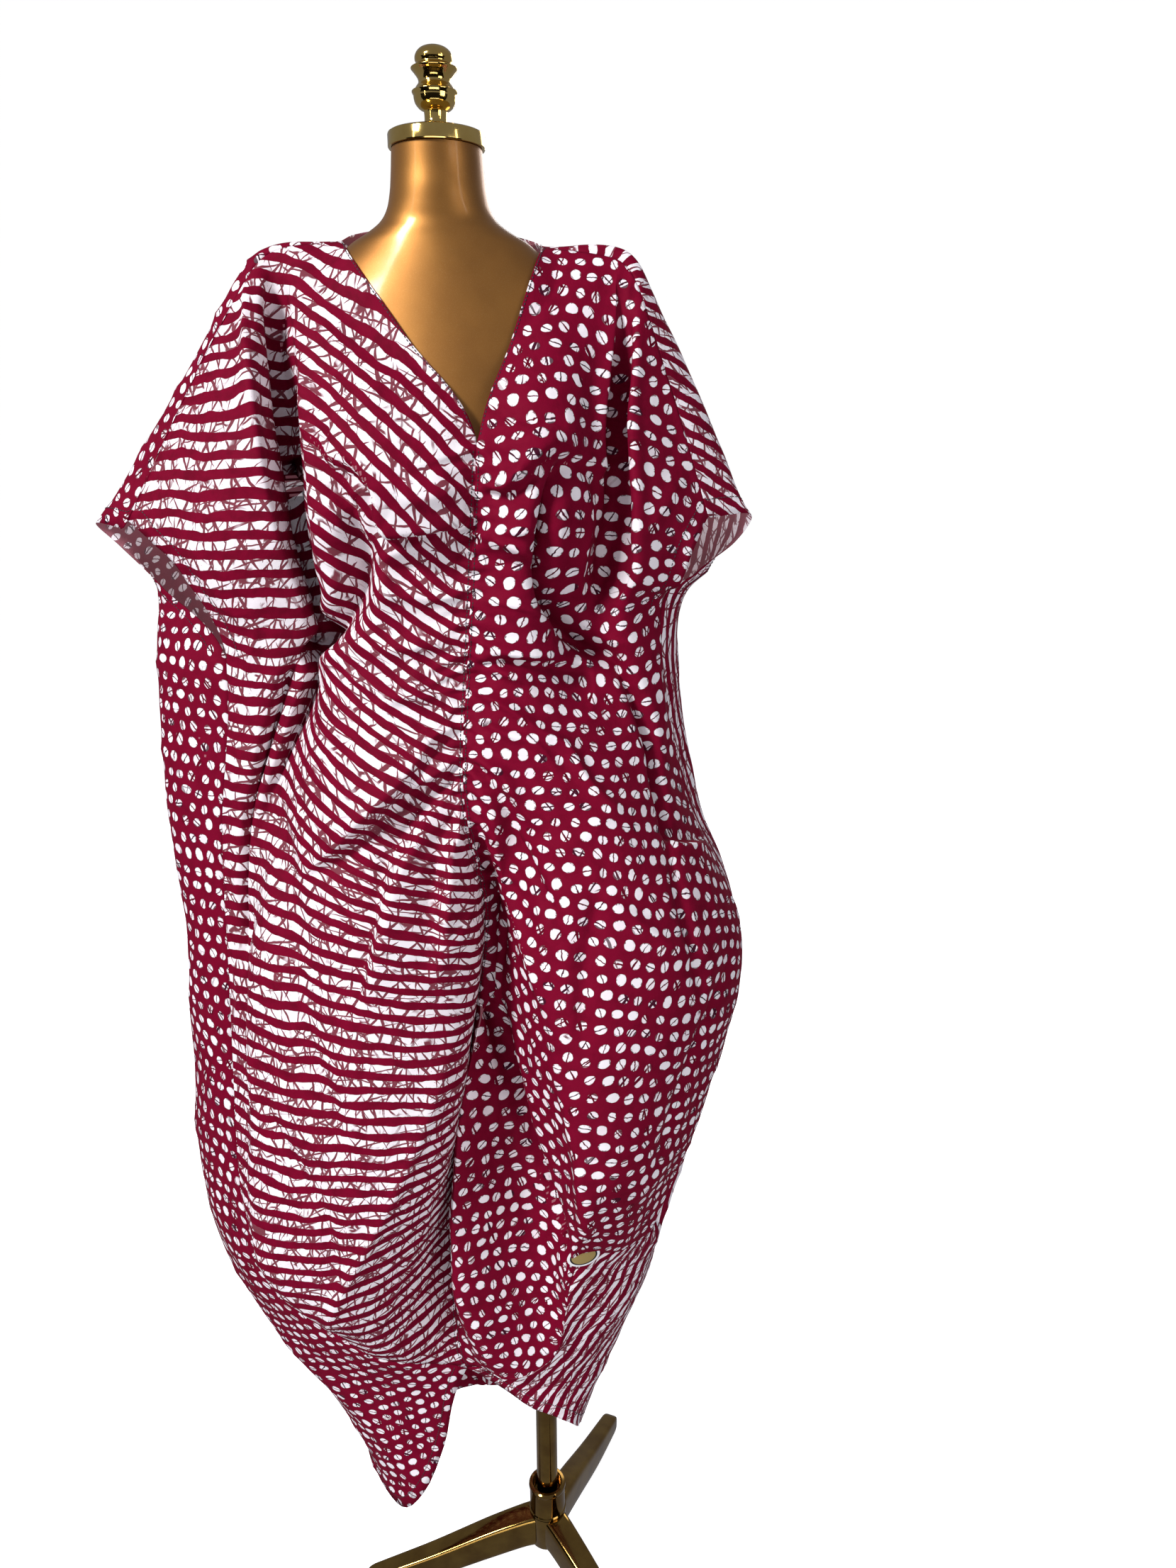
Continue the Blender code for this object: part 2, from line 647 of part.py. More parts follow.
def leg(name, angle_deg, finish, parent):
    """A leg of the tripod: a box section that narrows and slopes from the hub to a rounded foot."""
    # distance from the hub's axis, half width, underside height, top height
    sections = (
        (HUB_RADIUS + TOUCH_GAP, 18, HUB_BOTTOM_Z, LEG_TOP_Z),
        (90, 17, 36, 86),
        (170, 15, 13, 56),
        (LEG_REACH - 30, 13, 0, 33),
        (LEG_REACH - 10, 12, 0, 26),
        (LEG_REACH, 8, 0, 16),
    )
    bevel = 2.0
    turn = math.radians(angle_deg)
    rings = []
    for distance, half, low, high in sections:
        outline = (
            (-half + bevel, low),
            (half - bevel, low),
            (half, low + bevel),
            (half, high - bevel),
            (half - bevel, high),
            (-half + bevel, high),
            (-half, high - bevel),
            (-half, low + bevel),
        )
        ring = []
        for sideways, height in outline:
            x = POLE_X + distance * math.cos(turn) - sideways * math.sin(turn)
            y = distance * math.sin(turn) + sideways * math.cos(turn)
            ring.append((x, y, height))
        rings.append(ring)
    vertices, faces = stacked_rings(rings)
    add_piece(name, vertices, faces, finish, parent, 30.0)


def stand(parent):
    """Dress form, neck cap, finial, pole, collar, hub and three legs."""
    gold_paint = material("gold_paint", (0.42, 0.22, 0.07), 0.38, 0.6)
    brass = material("polished_brass", (0.78, 0.56, 0.20), 0.12, 1.0)
    torso(parent, gold_paint)
    turned("neck_cap", CAP_PROFILE, CAP_FOOT_Z, 0.0, brass, parent, 32)
    turned("finial", FINIAL_PROFILE, CAP_FOOT_Z + CAP_PROFILE[-1][1] + TOUCH_GAP, 0.0, brass, parent, 20)
    pole_height = FORM_BOTTOM_Z - TOUCH_GAP - POLE_FOOT_Z
    turned("pole", ((POLE_RADIUS, 0), (POLE_RADIUS, pole_height)), POLE_FOOT_Z, POLE_X, brass, parent)
    hub_height = POLE_FOOT_Z - TOUCH_GAP - HUB_BOTTOM_Z
    hub_profile = ((HUB_RADIUS - 2, 0), (HUB_RADIUS, 2), (HUB_RADIUS, hub_height))
    turned("hub", hub_profile, HUB_BOTTOM_Z, POLE_X, brass, parent)
    collar(parent, brass)
    for name, angle in LEG_ANGLES.items():
        leg(name, angle, brass, parent)


def collar(parent, finish):
    """The sleeve round the pole's foot: a ring with a flared lower rim and a bevelled upper one."""
    bore = POLE_RADIUS + TOUCH_GAP
    outline = (
        (bore, 0),
        (COLLAR_RADIUS + 1.5, 0),
        (COLLAR_RADIUS + 1.5, 3),
        (COLLAR_RADIUS, 5),
        (COLLAR_RADIUS, COLLAR_HEIGHT - 2),
        (COLLAR_RADIUS - 2, COLLAR_HEIGHT),
        (bore, COLLAR_HEIGHT),
    )
    around = 24
    angle = np.linspace(0, 2 * math.pi, around, endpoint=False)
    rings = []
    for radius, height in outline:
        ring = [np.cos(angle) * radius + POLE_X, np.sin(angle) * radius, np.full(around, POLE_FOOT_Z + height)]
        rings.append(np.stack(ring, axis=-1))
    vertices = np.concatenate(rings)
    faces = []
    for i in range(len(rings)):
        for j in range(around):
            a, b = i * around + j, i * around + (j + 1) % around
            c = (i + 1) % len(rings) * around + (j + 1) % around
            d = (i + 1) % len(rings) * around + j
            faces += split(vertices, a, b, c, d)
    add_piece("collar", vertices, facing_out(vertices, faces), finish, parent)


def main():
    for old in list(bpy.data.objects):
        bpy.data.objects.remove(old)
    root = bpy.data.objects.new("robe_on_form", None)
    bpy.context.scene.collection.objects.link(root)
    root.location = (FORM_AXIS_X * MM, FORM_AXIS_Y * MM, 0)
    robe(root)
    stand(root)
    bpy.context.view_layer.update()


main()
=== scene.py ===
"""The looks of the grand boubou robe on its dress form: cloth panels, stitching, label, form and stand.

Sizes are in millimetres, counted from the form's axis, until a piece's mesh is made.
Left and right are the wearer's, and the front is turned to -Y.
"""

import math

import bpy
import numpy as np
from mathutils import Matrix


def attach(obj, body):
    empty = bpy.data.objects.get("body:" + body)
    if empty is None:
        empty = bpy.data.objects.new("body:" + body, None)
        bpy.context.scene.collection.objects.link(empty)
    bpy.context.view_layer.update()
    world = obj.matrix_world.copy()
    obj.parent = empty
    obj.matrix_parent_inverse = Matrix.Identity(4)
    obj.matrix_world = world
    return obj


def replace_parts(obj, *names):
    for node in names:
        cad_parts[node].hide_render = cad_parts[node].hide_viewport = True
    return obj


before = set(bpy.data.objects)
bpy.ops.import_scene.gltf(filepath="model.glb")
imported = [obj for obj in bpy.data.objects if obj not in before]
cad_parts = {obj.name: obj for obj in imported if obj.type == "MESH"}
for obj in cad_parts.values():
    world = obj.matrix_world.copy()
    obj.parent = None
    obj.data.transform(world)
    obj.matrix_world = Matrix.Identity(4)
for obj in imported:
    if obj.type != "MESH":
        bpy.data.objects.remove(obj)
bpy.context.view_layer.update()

MM = 0.001
FORM_AXIS = np.array((26.0, -18.0, 0.0))

# Camera, in metres in the row's frame
CAMERA_PLACE = (0.181, -1.318, 1.62)
CAMERA_TILT = 73.2
CAMERA_LENS = 26.0
CAMERA_SENSOR = 36.0

# Cloth
WALL = 0.8
HEM_GAP = 0.15
V_BOTTOM_ROW = 2
UNDERARM_ROW = 3
V_BOTTOM_X = 44
V_BOTTOM_Z = 1618
SHOULDER_Z = 1826
GATHER_END_ROW = 4.75
BACK_UNDERARM_ROW = 4
FORM_CLEARANCE = 5.3
NECK_BACK_OUT = 12
NECK_BACK_UP = 10

# Points of the even grids between two rows and two fold lines of a front table, and of the back panels
ROW_POINTS = 16
COLUMN_POINTS = 8
NECK_POINTS = 12
BACK_OPEN_POINTS = 56

# Steps that even the folds out, how far a point moves in one, the same next to a seam, and how near that is
EVEN_STEPS = 34
EVEN_SHARE = 0.14
EVEN_SEAM_SHARE = 0.62
EVEN_SEAM_REACH = 26.0
EDGE_REACH = 16.0
LATTICE = 64

# Rows of the fine front grids that lie beside the V neck, and from the shoulder to the end of the sleeve
V_POINTS = 45
SLEEVE_POINTS = 107
BACK_SLEEVE_POINTS = 72
BACK_NECK_POINTS = 31
GATHER_SEED = 11

# Rows of a front table run from the shoulder seam to the lower seam: shoulder, chest, bust, waist, hip,
# thigh, knee, calf, lower seam. Columns are fold lines, from the centre seam out to the side seam. x is
# across, y is depth, z is height.

# columns: centre, inner, crest, edge, valley, ridge, lobe, side
FRONT_RIGHT = {
    "x": (
        (-104, -120, -138, -156, -176, -190, -236, -348),
        (-28, -60, -98, -134, -166, -183, -234, -319),
        (44, 8, -58, -126, -154, -170, -236, -282),
        (30, 4, -50, -118, -136, -152, -205, -240),
        (22, -8, -76, -160, -205, -224, -246, -263),
        (36, 24, -78, -214, -234, -246, -260, -268),
        (2, -6, -112, -232, -246, -254, -264, -273),
        (-12, -66, -136, -222, -238, -246, -256, -266),
        (-19, -56, -100, -140, -166, -190, -218, -245),
    ),
    "y": (
        (4, 0, -4, -8, -8, -14, -32, -36),
        (-66, -72, -82, -76, -30, -94, -92, -52),
        (-112, -134, -150, -118, -38, -114, -108, -66),
        (-104, -112, -118, -100, -44, -88, -90, -72),
        (-138, -150, -176, -140, -84, -92, -86, -72),
        (-108, -170, -206, -160, -108, -102, -92, -84),
        (-92, -186, -216, -176, -136, -124, -114, -106),
        (-66, -150, -196, -176, -156, -142, -130, -118),
        (-70, -104, -122, -126, -126, -124, -122, -120),
    ),
    "z": (
        (1824, 1824, 1823, 1821, 1814, 1798, 1730, 1540),
        (1722, 1718, 1712, 1694, 1680, 1668, 1606, 1518),
        (1618, 1606, 1582, 1552, 1538, 1530, 1500, 1482),
        (1430, 1426, 1420, 1408, 1402, 1398, 1388, 1385),
        (1262, 1256, 1242, 1222, 1212, 1206, 1200, 1195),
        (1090, 1086, 1066, 1040, 1032, 1030, 1027, 1025),
        (860, 852, 832, 808, 802, 800, 798, 790),
        (640, 640, 640, 648, 660, 674, 694, 716),
        (435, 464, 484, 518, 546, 576, 612, 652),
    ),
}

# columns: centre, inner, fold, crest, edge, valley, ridge, side
FRONT_LEFT = {
    "x": (
        (108, 122, 138, 156, 174, 190, 214, 285),
        (78, 100, 124, 148, 168, 185, 206, 269),
        (44, 76, 104, 130, 150, 180, 206, 256),
        (30, 60, 90, 114, 132, 160, 196, 237),
        (22, 52, 84, 126, 184, 226, 258, 270),
        (36, 50, 62, 114, 214, 292, 340, 342),
        (2, 4, 64, 152, 222, 268, 300, 300),
        (-12, -8, 96, 148, 206, 240, 264, 266),
        (-19, 44, 116, 130, 184, 216, 236, 241),
    ),
    "y": (
        (4, 0, -4, -7, -9, -9, -30, -36),
        (-66, -78, -82, -74, -56, -38, -82, -58),
        (-112, -134, -144, -132, -84, -40, -92, -54),
        (-104, -116, -114, -94, -66, -56, -64, -24),
        (-138, -152, -154, -164, -150, -108, -58, -14),
        (-108, -118, -116, -206, -196, -136, -58, 14),
        (-92, -152, -106, -206, -182, -124, -58, 4),
        (-66, -152, -96, -184, -156, -108, -62, -18),
        (-70, -104, -100, -150, -130, -96, -68, -42),
    ),
    "z": (
        (1817, 1818, 1817, 1815, 1812, 1806, 1754, 1541),
        (1722, 1716, 1704, 1690, 1672, 1652, 1604, 1509),
        (1618, 1602, 1584, 1564, 1536, 1510, 1494, 1472),
        (1430, 1426, 1420, 1414, 1408, 1410, 1418, 1431),
        (1262, 1256, 1250, 1242, 1230, 1222, 1218, 1216),
        (1090, 1080, 1066, 1052, 1044, 1042, 1044, 1046),
        (860, 852, 862, 866, 846, 834, 826, 820),
        (640, 612, 640, 752, 740, 728, 721, 716),
        (435, 426, 470, 672, 656, 645, 639, 636),
    ),
}

# Rows of a back table: seam, fold, chest, bust, waist, hip, thigh, knee, calf, shin, hem. A back panel starts
# on the shoulder seam, in front of the sleeve's top fold, and turns over it. Columns: centre, neck, blade,
# outer, turn, wrap, side
BACK_RIGHT = {
    "x": (
        (0, -104, -186, -232, -272, -312, -351),
        (0, -106, -192, -254, -304, -352, -396),
        (0, -104, -194, -272, -330, -362, -376),
        (0, -100, -194, -284, -344, -352, -332),
        (0, -98, -192, -296, -360, -306, -240),
        (0, -98, -196, -304, -358, -318, -263),
        (0, -94, -194, -302, -347, -314, -268),
        (0, -92, -190, -310, -365, -322, -273),
        (-2, -80, -166, -272, -340, -308, -245),
        (-3, -66, -134, -222, -258, -212, -166),
        (-4, -44, -98, -166, -110, -51, -19),
    ),
    "y": (
        (76, 4, -14, -32, -36, -37, -36),
        (92, 26, 8, 4, 2, 0, -2),
        (114, 102, 84, 62, 44, 28, 10),
        (134, 134, 122, 92, 54, 26, 2),
        (124, 132, 130, 92, 16, -40, -72),
        (150, 158, 148, 88, 0, -50, -72),
        (154, 160, 148, 84, -8, -62, -84),
        (138, 148, 136, 80, 0, -66, -106),
        (130, 138, 126, 72, -2, -76, -120),
        (124, 126, 110, 60, -10, -80, -126),
        (118, 112, 84, 26, -40, -50, -70),
    ),
    "z": (
        (1836, 1824, 1806, 1730, 1662, 1594, 1529),
        (1818, 1814, 1803, 1728, 1660, 1592, 1533),
        (1752, 1742, 1690, 1622, 1570, 1530, 1506),
        (1592, 1576, 1540, 1500, 1476, 1464, 1462),
        (1420, 1412, 1402, 1392, 1386, 1384, 1385),
        (1200, 1200, 1198, 1194, 1190, 1190, 1195),
        (990, 990, 994, 1002, 1008, 1014, 1025),
        (740, 752, 768, 784, 792, 794, 790),
        (540, 546, 560, 580, 604, 630, 652),
        (370, 372, 374, 384, 412, 470, 546),
        (216, 202, 190, 188, 151, 258, 435),
    ),
}

BACK_LEFT = {
    "x": (
        (0, 108, 190, 214, 238, 262, 285),
        (0, 110, 198, 236, 272, 306, 337),
        (0, 106, 198, 254, 294, 318, 322),
        (0, 100, 196, 256, 290, 296, 278),
        (0, 96, 190, 244, 264, 256, 237),
        (0, 98, 194, 262, 284, 280, 270),
        (0, 96, 196, 292, 338, 344, 342),
        (0, 94, 190, 268, 298, 302, 300),
        (-2, 84, 168, 236, 258, 256, 241),
        (-3, 66, 128, 184, 216, 196, 140),
        (-4, 44, 90, 128, 139, 84, -19),
    ),
    "y": (
        (76, 4, -9, -30, -34, -36, -36),
        (92, 26, 8, 4, 2, 0, -2),
        (114, 102, 84, 62, 44, 26, 8),
        (134, 134, 120, 84, 50, 24, -2),
        (124, 132, 126, 82, 34, 2, -24),
        (150, 158, 146, 88, 36, 8, -14),
        (154, 160, 150, 104, 62, 36, 14),
        (138, 148, 136, 92, 46, 22, 4),
        (130, 138, 124, 76, 28, -8, -42),
        (124, 126, 106, 50, -10, -66, -146),
        (118, 110, 80, 20, -42, -60, -70),
    ),
    "z": (
        (1836, 1817, 1806, 1754, 1684, 1612, 1541),
        (1818, 1812, 1803, 1748, 1678, 1608, 1543),
        (1752, 1742, 1690, 1624, 1566, 1530, 1512),
        (1592, 1576, 1540, 1506, 1486, 1478, 1478),
        (1420, 1414, 1408, 1410, 1416, 1424, 1431),
        (1200, 1202, 1206, 1212, 1216, 1216, 1216),
        (990, 996, 1008, 1024, 1036, 1042, 1046),
        (740, 752, 770, 792, 808, 816, 820),
        (540, 548, 560, 586, 608, 624, 636),
        (370, 376, 388, 416, 470, 530, 664),
        (216, 212, 216, 250, 302, 356, 435),
    ),
}

# Front rows against back rows down the side seam, and front columns against back rows along the lower seam
SIDE_MATCH = ((3, 4, 5, 6, 8), (4, 5, 6, 7, 8))
LOWER_MATCH = ((0, 3, 7), (10, 9, 8))

# Sections of the dress form: height, half width, depth to the front, depth to the back, squareness
FORM_SECTIONS = (
    (1906.6, 46.5, 46, 46, 2.0),
    (1885, 48, 46, 47, 2.0),
    (1866, 50, 47, 50, 2.0),
    (1850, 54, 47, 53, 2.0),
    (1838, 62, 47, 56, 1.95),
    (1828, 76, 48, 58, 1.9),
    (1819, 92, 49, 60, 1.85),
    (1808, 106, 51, 62, 1.85),
    (1794, 123, 54, 66, 1.85),
    (1772, 144, 59, 72, 1.9),
    (1744, 160, 66, 78, 1.95),
    (1710, 168, 75, 84, 2.0),
    (1660, 160, 89, 90, 2.1),
    (1610, 152, 100, 90, 2.2),
    (1570, 148, 106, 88, 2.2),
    (1520, 136, 100, 84, 2.2),
    (1470, 122, 86, 80, 2.2),
    (1420, 114, 80, 78, 2.2),
    (1370, 120, 82, 84, 2.2),
    (1300, 142, 90, 98, 2.3),
    (1220, 160, 96, 106, 2.3),
    (1140, 160, 94, 102, 2.3),
    (1080, 154, 88, 96, 2.3),
    (1040, 146, 82, 90, 2.3),
)


def through(values, places):
    """A smooth curve through the rows of values, read at places counted in rows.

    Each stretch is a cubic whose slope at a row is half the step between its neighbours.
    """
    values = np.asarray(values, float)
    last = len(values) - 1
    slopes = np.empty_like(values)
    slopes[1:-1] = (values[2:] - values[:-2]) / 2
    slopes[0] = values[1] - values[0]
    slopes[-1] = values[-1] - values[-2]
    places = np.clip(np.asarray(places, float), 0, last)
    row = np.minimum(places.astype(int), last - 1)
    part = (places - row).reshape((-1,) + (1,) * (values.ndim - 1))
    start, end = values[row], values[row + 1]
    return (
        start * (1 + 2 * part) * (1 - part) ** 2
        + slopes[row] * part * (1 - part) ** 2
        + end * part**2 * (3 - 2 * part)
        - slopes[row + 1] * part**2 * (1 - part)
    )


def cloth_grid(table, down, across):
    """Points of a panel at the rows in down and the fold lines in across, both counted in table cells."""
    axes = []
    for axis in ("x", "y", "z"):
        by_row = through(table[axis], down)
        if table is FRONT_RIGHT or table is FRONT_LEFT:
            # the two fronts share the centre seam, so its curve starts afresh at the bottom of the V
            seam = down >= V_BOTTOM_ROW
            below = np.asarray(table[axis], float)[V_BOTTOM_ROW:, 0]
            by_row[seam, 0] = through(below, down[seam] - V_BOTTOM_ROW)
        axes.append(through(by_row.T, across).T)
    return np.stack(axes, axis=-1)


def clear_of_form(points, front):
    """Moves points that would be inside the form, or too near it, forwards or backwards off it."""
    sections = np.array(FORM_SECTIONS)[::-1]
    height = points[..., 2]
    half, fore, aft, square = (np.interp(height, sections[:, 0], sections[:, k]) for k in range(1, 5))
    depth = (fore if front else aft) + FORM_CLEARANCE
    side = np.clip(np.abs(points[..., 0]) / (half + FORM_CLEARANCE), 0, 1)
    surface = depth * (1 - side**square) ** (1 / square)
    inside = (side < 1) & (height < FORM_SECTIONS[4][0]) & (height > FORM_SECTIONS[-1][0] - 30)
    moved = points.copy()
    if front:
        moved[..., 1] = np.where(inside, np.minimum(points[..., 1], -surface), points[..., 1])
    else:
        moved[..., 1] = np.where(inside, np.maximum(points[..., 1], surface), points[..., 1])
    return moved


def run_along(line):
    """The length walked along a line of points, at each point."""
    return np.concatenate([[0.0], np.cumsum(np.linalg.norm(np.diff(line, axis=0), axis=1))])


def walked(grid, axis, unit=1.0):
    """The length walked from a grid's first row, axis 0, or first column, axis 1, at each point."""
    steps = np.linalg.norm(np.diff(grid, axis=axis), axis=-1) * unit
    return np.concatenate([np.zeros_like(steps.take([0], axis)), np.cumsum(steps, axis=axis)], axis=axis)


def smooth_step(value, low, high):
    """0 below low, 1 above high, and an S curve between them."""
    share = np.clip((value - low) / (high - low), 0, 1)
    return share * share * (3 - 2 * share)


# The panels are first laid out on even grids whose seam points coincide, and evened out together
FRONT_ROWS = len(FRONT_RIGHT["x"]) - 1
FRONT_COLUMNS = len(FRONT_RIGHT["x"][0]) - 1
FRONT_DOWN = np.linspace(0, FRONT_ROWS, ROW_POINTS * FRONT_ROWS + 1)
FRONT_ACROSS = np.linspace(0, FRONT_COLUMNS, COLUMN_POINTS * FRONT_COLUMNS + 1)


def front_layout(table):
    return clear_of_form(cloth_grid(table, FRONT_DOWN, FRONT_ACROSS), True)


def back_layout(table, front):
    """A back panel whose shoulder line and side line are the points of the front panel's seams."""
    shoulder = run_along(front[0])
    across = np.concatenate([np.linspace(0, 1, NECK_POINTS + 1)[:-1], 1 + 5 * shoulder / shoulder[-1]])
    sewn = FRONT_DOWN >= UNDERARM_ROW - 1e-6
    side = np.concatenate([front[sewn, -1], front[-1, ::-1][1:]])
    side_rows = np.concatenate(
        [np.interp(FRONT_DOWN[sewn], *SIDE_MATCH), np.interp(FRONT_ACROSS[::-1][1:], *LOWER_MATCH)]
    )
    down = np.concatenate([np.linspace(0, BACK_UNDERARM_ROW, BACK_OPEN_POINTS + 1)[:-1], side_rows])
    grid = clear_of_form(cloth_grid(table, down, across), False)
    grid[0, :NECK_POINTS] = cloth_grid(table, np.zeros(1), across[:NECK_POINTS])[0]
    upright = (np.clip(1 - down / 0.8, 0, 1) ** 2)[:, None] * np.sin(np.pi * np.clip(across, 0, 1)) ** 0.8
    grid[..., 1] += NECK_BACK_OUT * upright
    grid[..., 2] += NECK_BACK_UP * upright
    grid[0, NECK_POINTS:] = front[0]
    grid[BACK_OPEN_POINTS:, -1] = side
    return grid


def evened(grids):
    """The grids with their folds evened out together, most of all next to the seams.

    Points in the same place move as one, so sewn edges stay together, and open edges stay where they are.
    """
    everything = np.concatenate([grid.reshape(-1, 3) for grid in grids])
    _, first, place = np.unique(np.round(everything, 2), axis=0, return_index=True, return_inverse=True)
    place = place.reshape(-1)
    points = everything[first]
    count = len(points)
    pairs, used, start = [], np.zeros(count), 0
    for grid in grids:
        rows, columns = grid.shape[:2]
        number = place[start : start + rows * columns].reshape(rows, columns)
        start += rows * columns
        pairs.append(np.stack([number[:-1].ravel(), number[1:].ravel()], axis=1))
        pairs.append(np.stack([number[:, :-1].ravel(), number[:, 1:].ravel()], axis=1))
        rim = np.unique(np.concatenate([number[0], number[-1], number[:, 0], number[:, -1]]))
        used[rim] += 1
    pairs = np.unique(np.sort(np.concatenate(pairs), axis=1), axis=0)
    pairs = pairs[pairs[:, 0] != pairs[:, 1]]
    seam_points = points[used > 1]
    nearest = np.full(count, 1e9)
    for chunk in range(0, count, 4000):
        gap = points[chunk : chunk + 4000, None] - seam_points[None, ::2]
        nearest[chunk : chunk + 4000] = np.sqrt((gap**2).sum(-1).min(1))
    strength = EVEN_SHARE + (EVEN_SEAM_SHARE - EVEN_SHARE) * np.exp(-((nearest / EVEN_SEAM_REACH) ** 2))
    strength[used == 1] = 0
    a, b = pairs[:, 0], pairs[:, 1]
    for _ in range(EVEN_STEPS):
        weight = 1 / np.maximum(np.linalg.norm(points[a] - points[b], axis=1), 0.2)
        share = np.bincount(a, weight, count) + np.bincount(b, weight, count)
        pull = [
            np.bincount(a, weight * points[b, k], count) + np.bincount(b, weight * points[a, k], count)
            for k in range(3)
        ]
        points = points + (np.stack(pull, axis=1) / share[:, None] - points) * strength[:, None]
    ends = np.cumsum([grid.shape[0] * grid.shape[1] for grid in grids])[:-1]
    return [part.reshape(grid.shape) for part, grid in zip(np.split(points[place], ends), grids)]


def finer(grid, rows, columns):
    """The grid read through smooth curves at fractional row and column numbers."""
    down = through(grid, rows)
    return np.swapaxes(through(np.swapaxes(down, 0, 1), columns), 0, 1)


def outward(grid, front):
    """Unit normals of a panel's grid, turned away from the form."""
    down = np.gradient(grid, axis=0)
    across = np.gradient(grid, axis=1)
    normal = np.cross(down, across)
    normal /= np.maximum(np.linalg.norm(normal, axis=-1, keepdims=True), 1e-9)
    facing = normal[..., 1].mean()
    return normal if (facing < 0) == front else -normal


def lattice_noise(u, v, cell, seed):
    """Smooth seeded noise from -1 to 1, with lumps about one cell across."""
    values = np.random.default_rng(seed).uniform(-1, 1, (LATTICE, LATTICE))
    u, v = u / cell, v / cell
    left, top = np.floor(u).astype(int), np.floor(v).astype(int)
    across, down = smooth_step(u - left, 0, 1), smooth_step(v - top, 0, 1)
    right, bottom = (left + 1) % LATTICE, (top + 1) % LATTICE
    left, top = left % LATTICE, top % LATTICE
    low = values[left, top] * (1 - across) + values[right, top] * across
    high = values[left, bottom] * (1 - across) + values[right, bottom] * across
    return low * (1 - down) + high * down


# How far the printed rows drop towards the centre seam: height, drop in metres, reach across in metres
RIGHT_DROP = (
    (1824, 0.115, 0.21),
    (1722, 0.145, 0.21),
    (1600, 0.178, 0.21),
    (1500, 0.188, 0.22),
    (1410, 0.170, 0.22),
    (1210, 0.135, 0.22),
    (1090, 0.100, 0.21),
    (980, 0.050, 0.20),
    (900, 0.015, 0.20),
    (750, -0.02, 0.26),
    (435, -0.03, 0.26),
)
LEFT_DROP = (
    (1824, -0.03, 0.24),
    (1722, -0.02, 0.22),
    (1600, 0.02, 0.20),
    (1410, -0.01, 0.25),
    (1210, -0.10, 0.35),
    (1090, -0.16, 0.42),
    (950, -0.19, 0.45),
    (750, -0.19, 0.45),
    (435, -0.12, 0.45),
)


def front_print(grid, drop_table):
    """Cloth coordinates of a front panel in metres.

    v is the way down from the shoulder less the drop of the printed rows towards the centre seam, and u is
    the rest of the length across the panel. The way down grows by the fall in height, or by seven tenths of
    the length walked where the cloth lies flatter than that.
    """
    table = np.array(drop_table)[::-1]
    height = grid[..., 2]
    fallen = -np.diff(height, axis=0)
    length = np.linalg.norm(np.diff(grid, axis=0), axis=-1)
    way = np.cumsum(np.maximum(fallen, 0.7 * length), axis=0)
    way = np.concatenate([np.zeros((1, grid.shape[1])), way]) + SHOULDER_Z - height[:1]
    step = np.linalg.norm(np.diff(grid, axis=1), axis=-1) * MM
    start = np.abs(grid[:, :1, 0] - V_BOTTOM_X) * MM * (height[:, :1] > V_BOTTOM_Z)
    run = walked(grid, 1, MM) + start
    drop = np.interp(height, table[:, 0], table[:, 1])
    reach = np.interp(height, table[:, 0], table[:, 2])
    v = way * MM - drop * np.clip(1 - run / reach, 0, 1) ** 1.06
    dv = np.diff(v, axis=1)
    du = np.sqrt(np.maximum(step**2 - dv**2, (0.55 * step) ** 2))
    u = np.concatenate([np.zeros((len(grid), 1)), np.cumsum(du, axis=1)], axis=1) + start
    return np.stack([u, v], axis=-1)


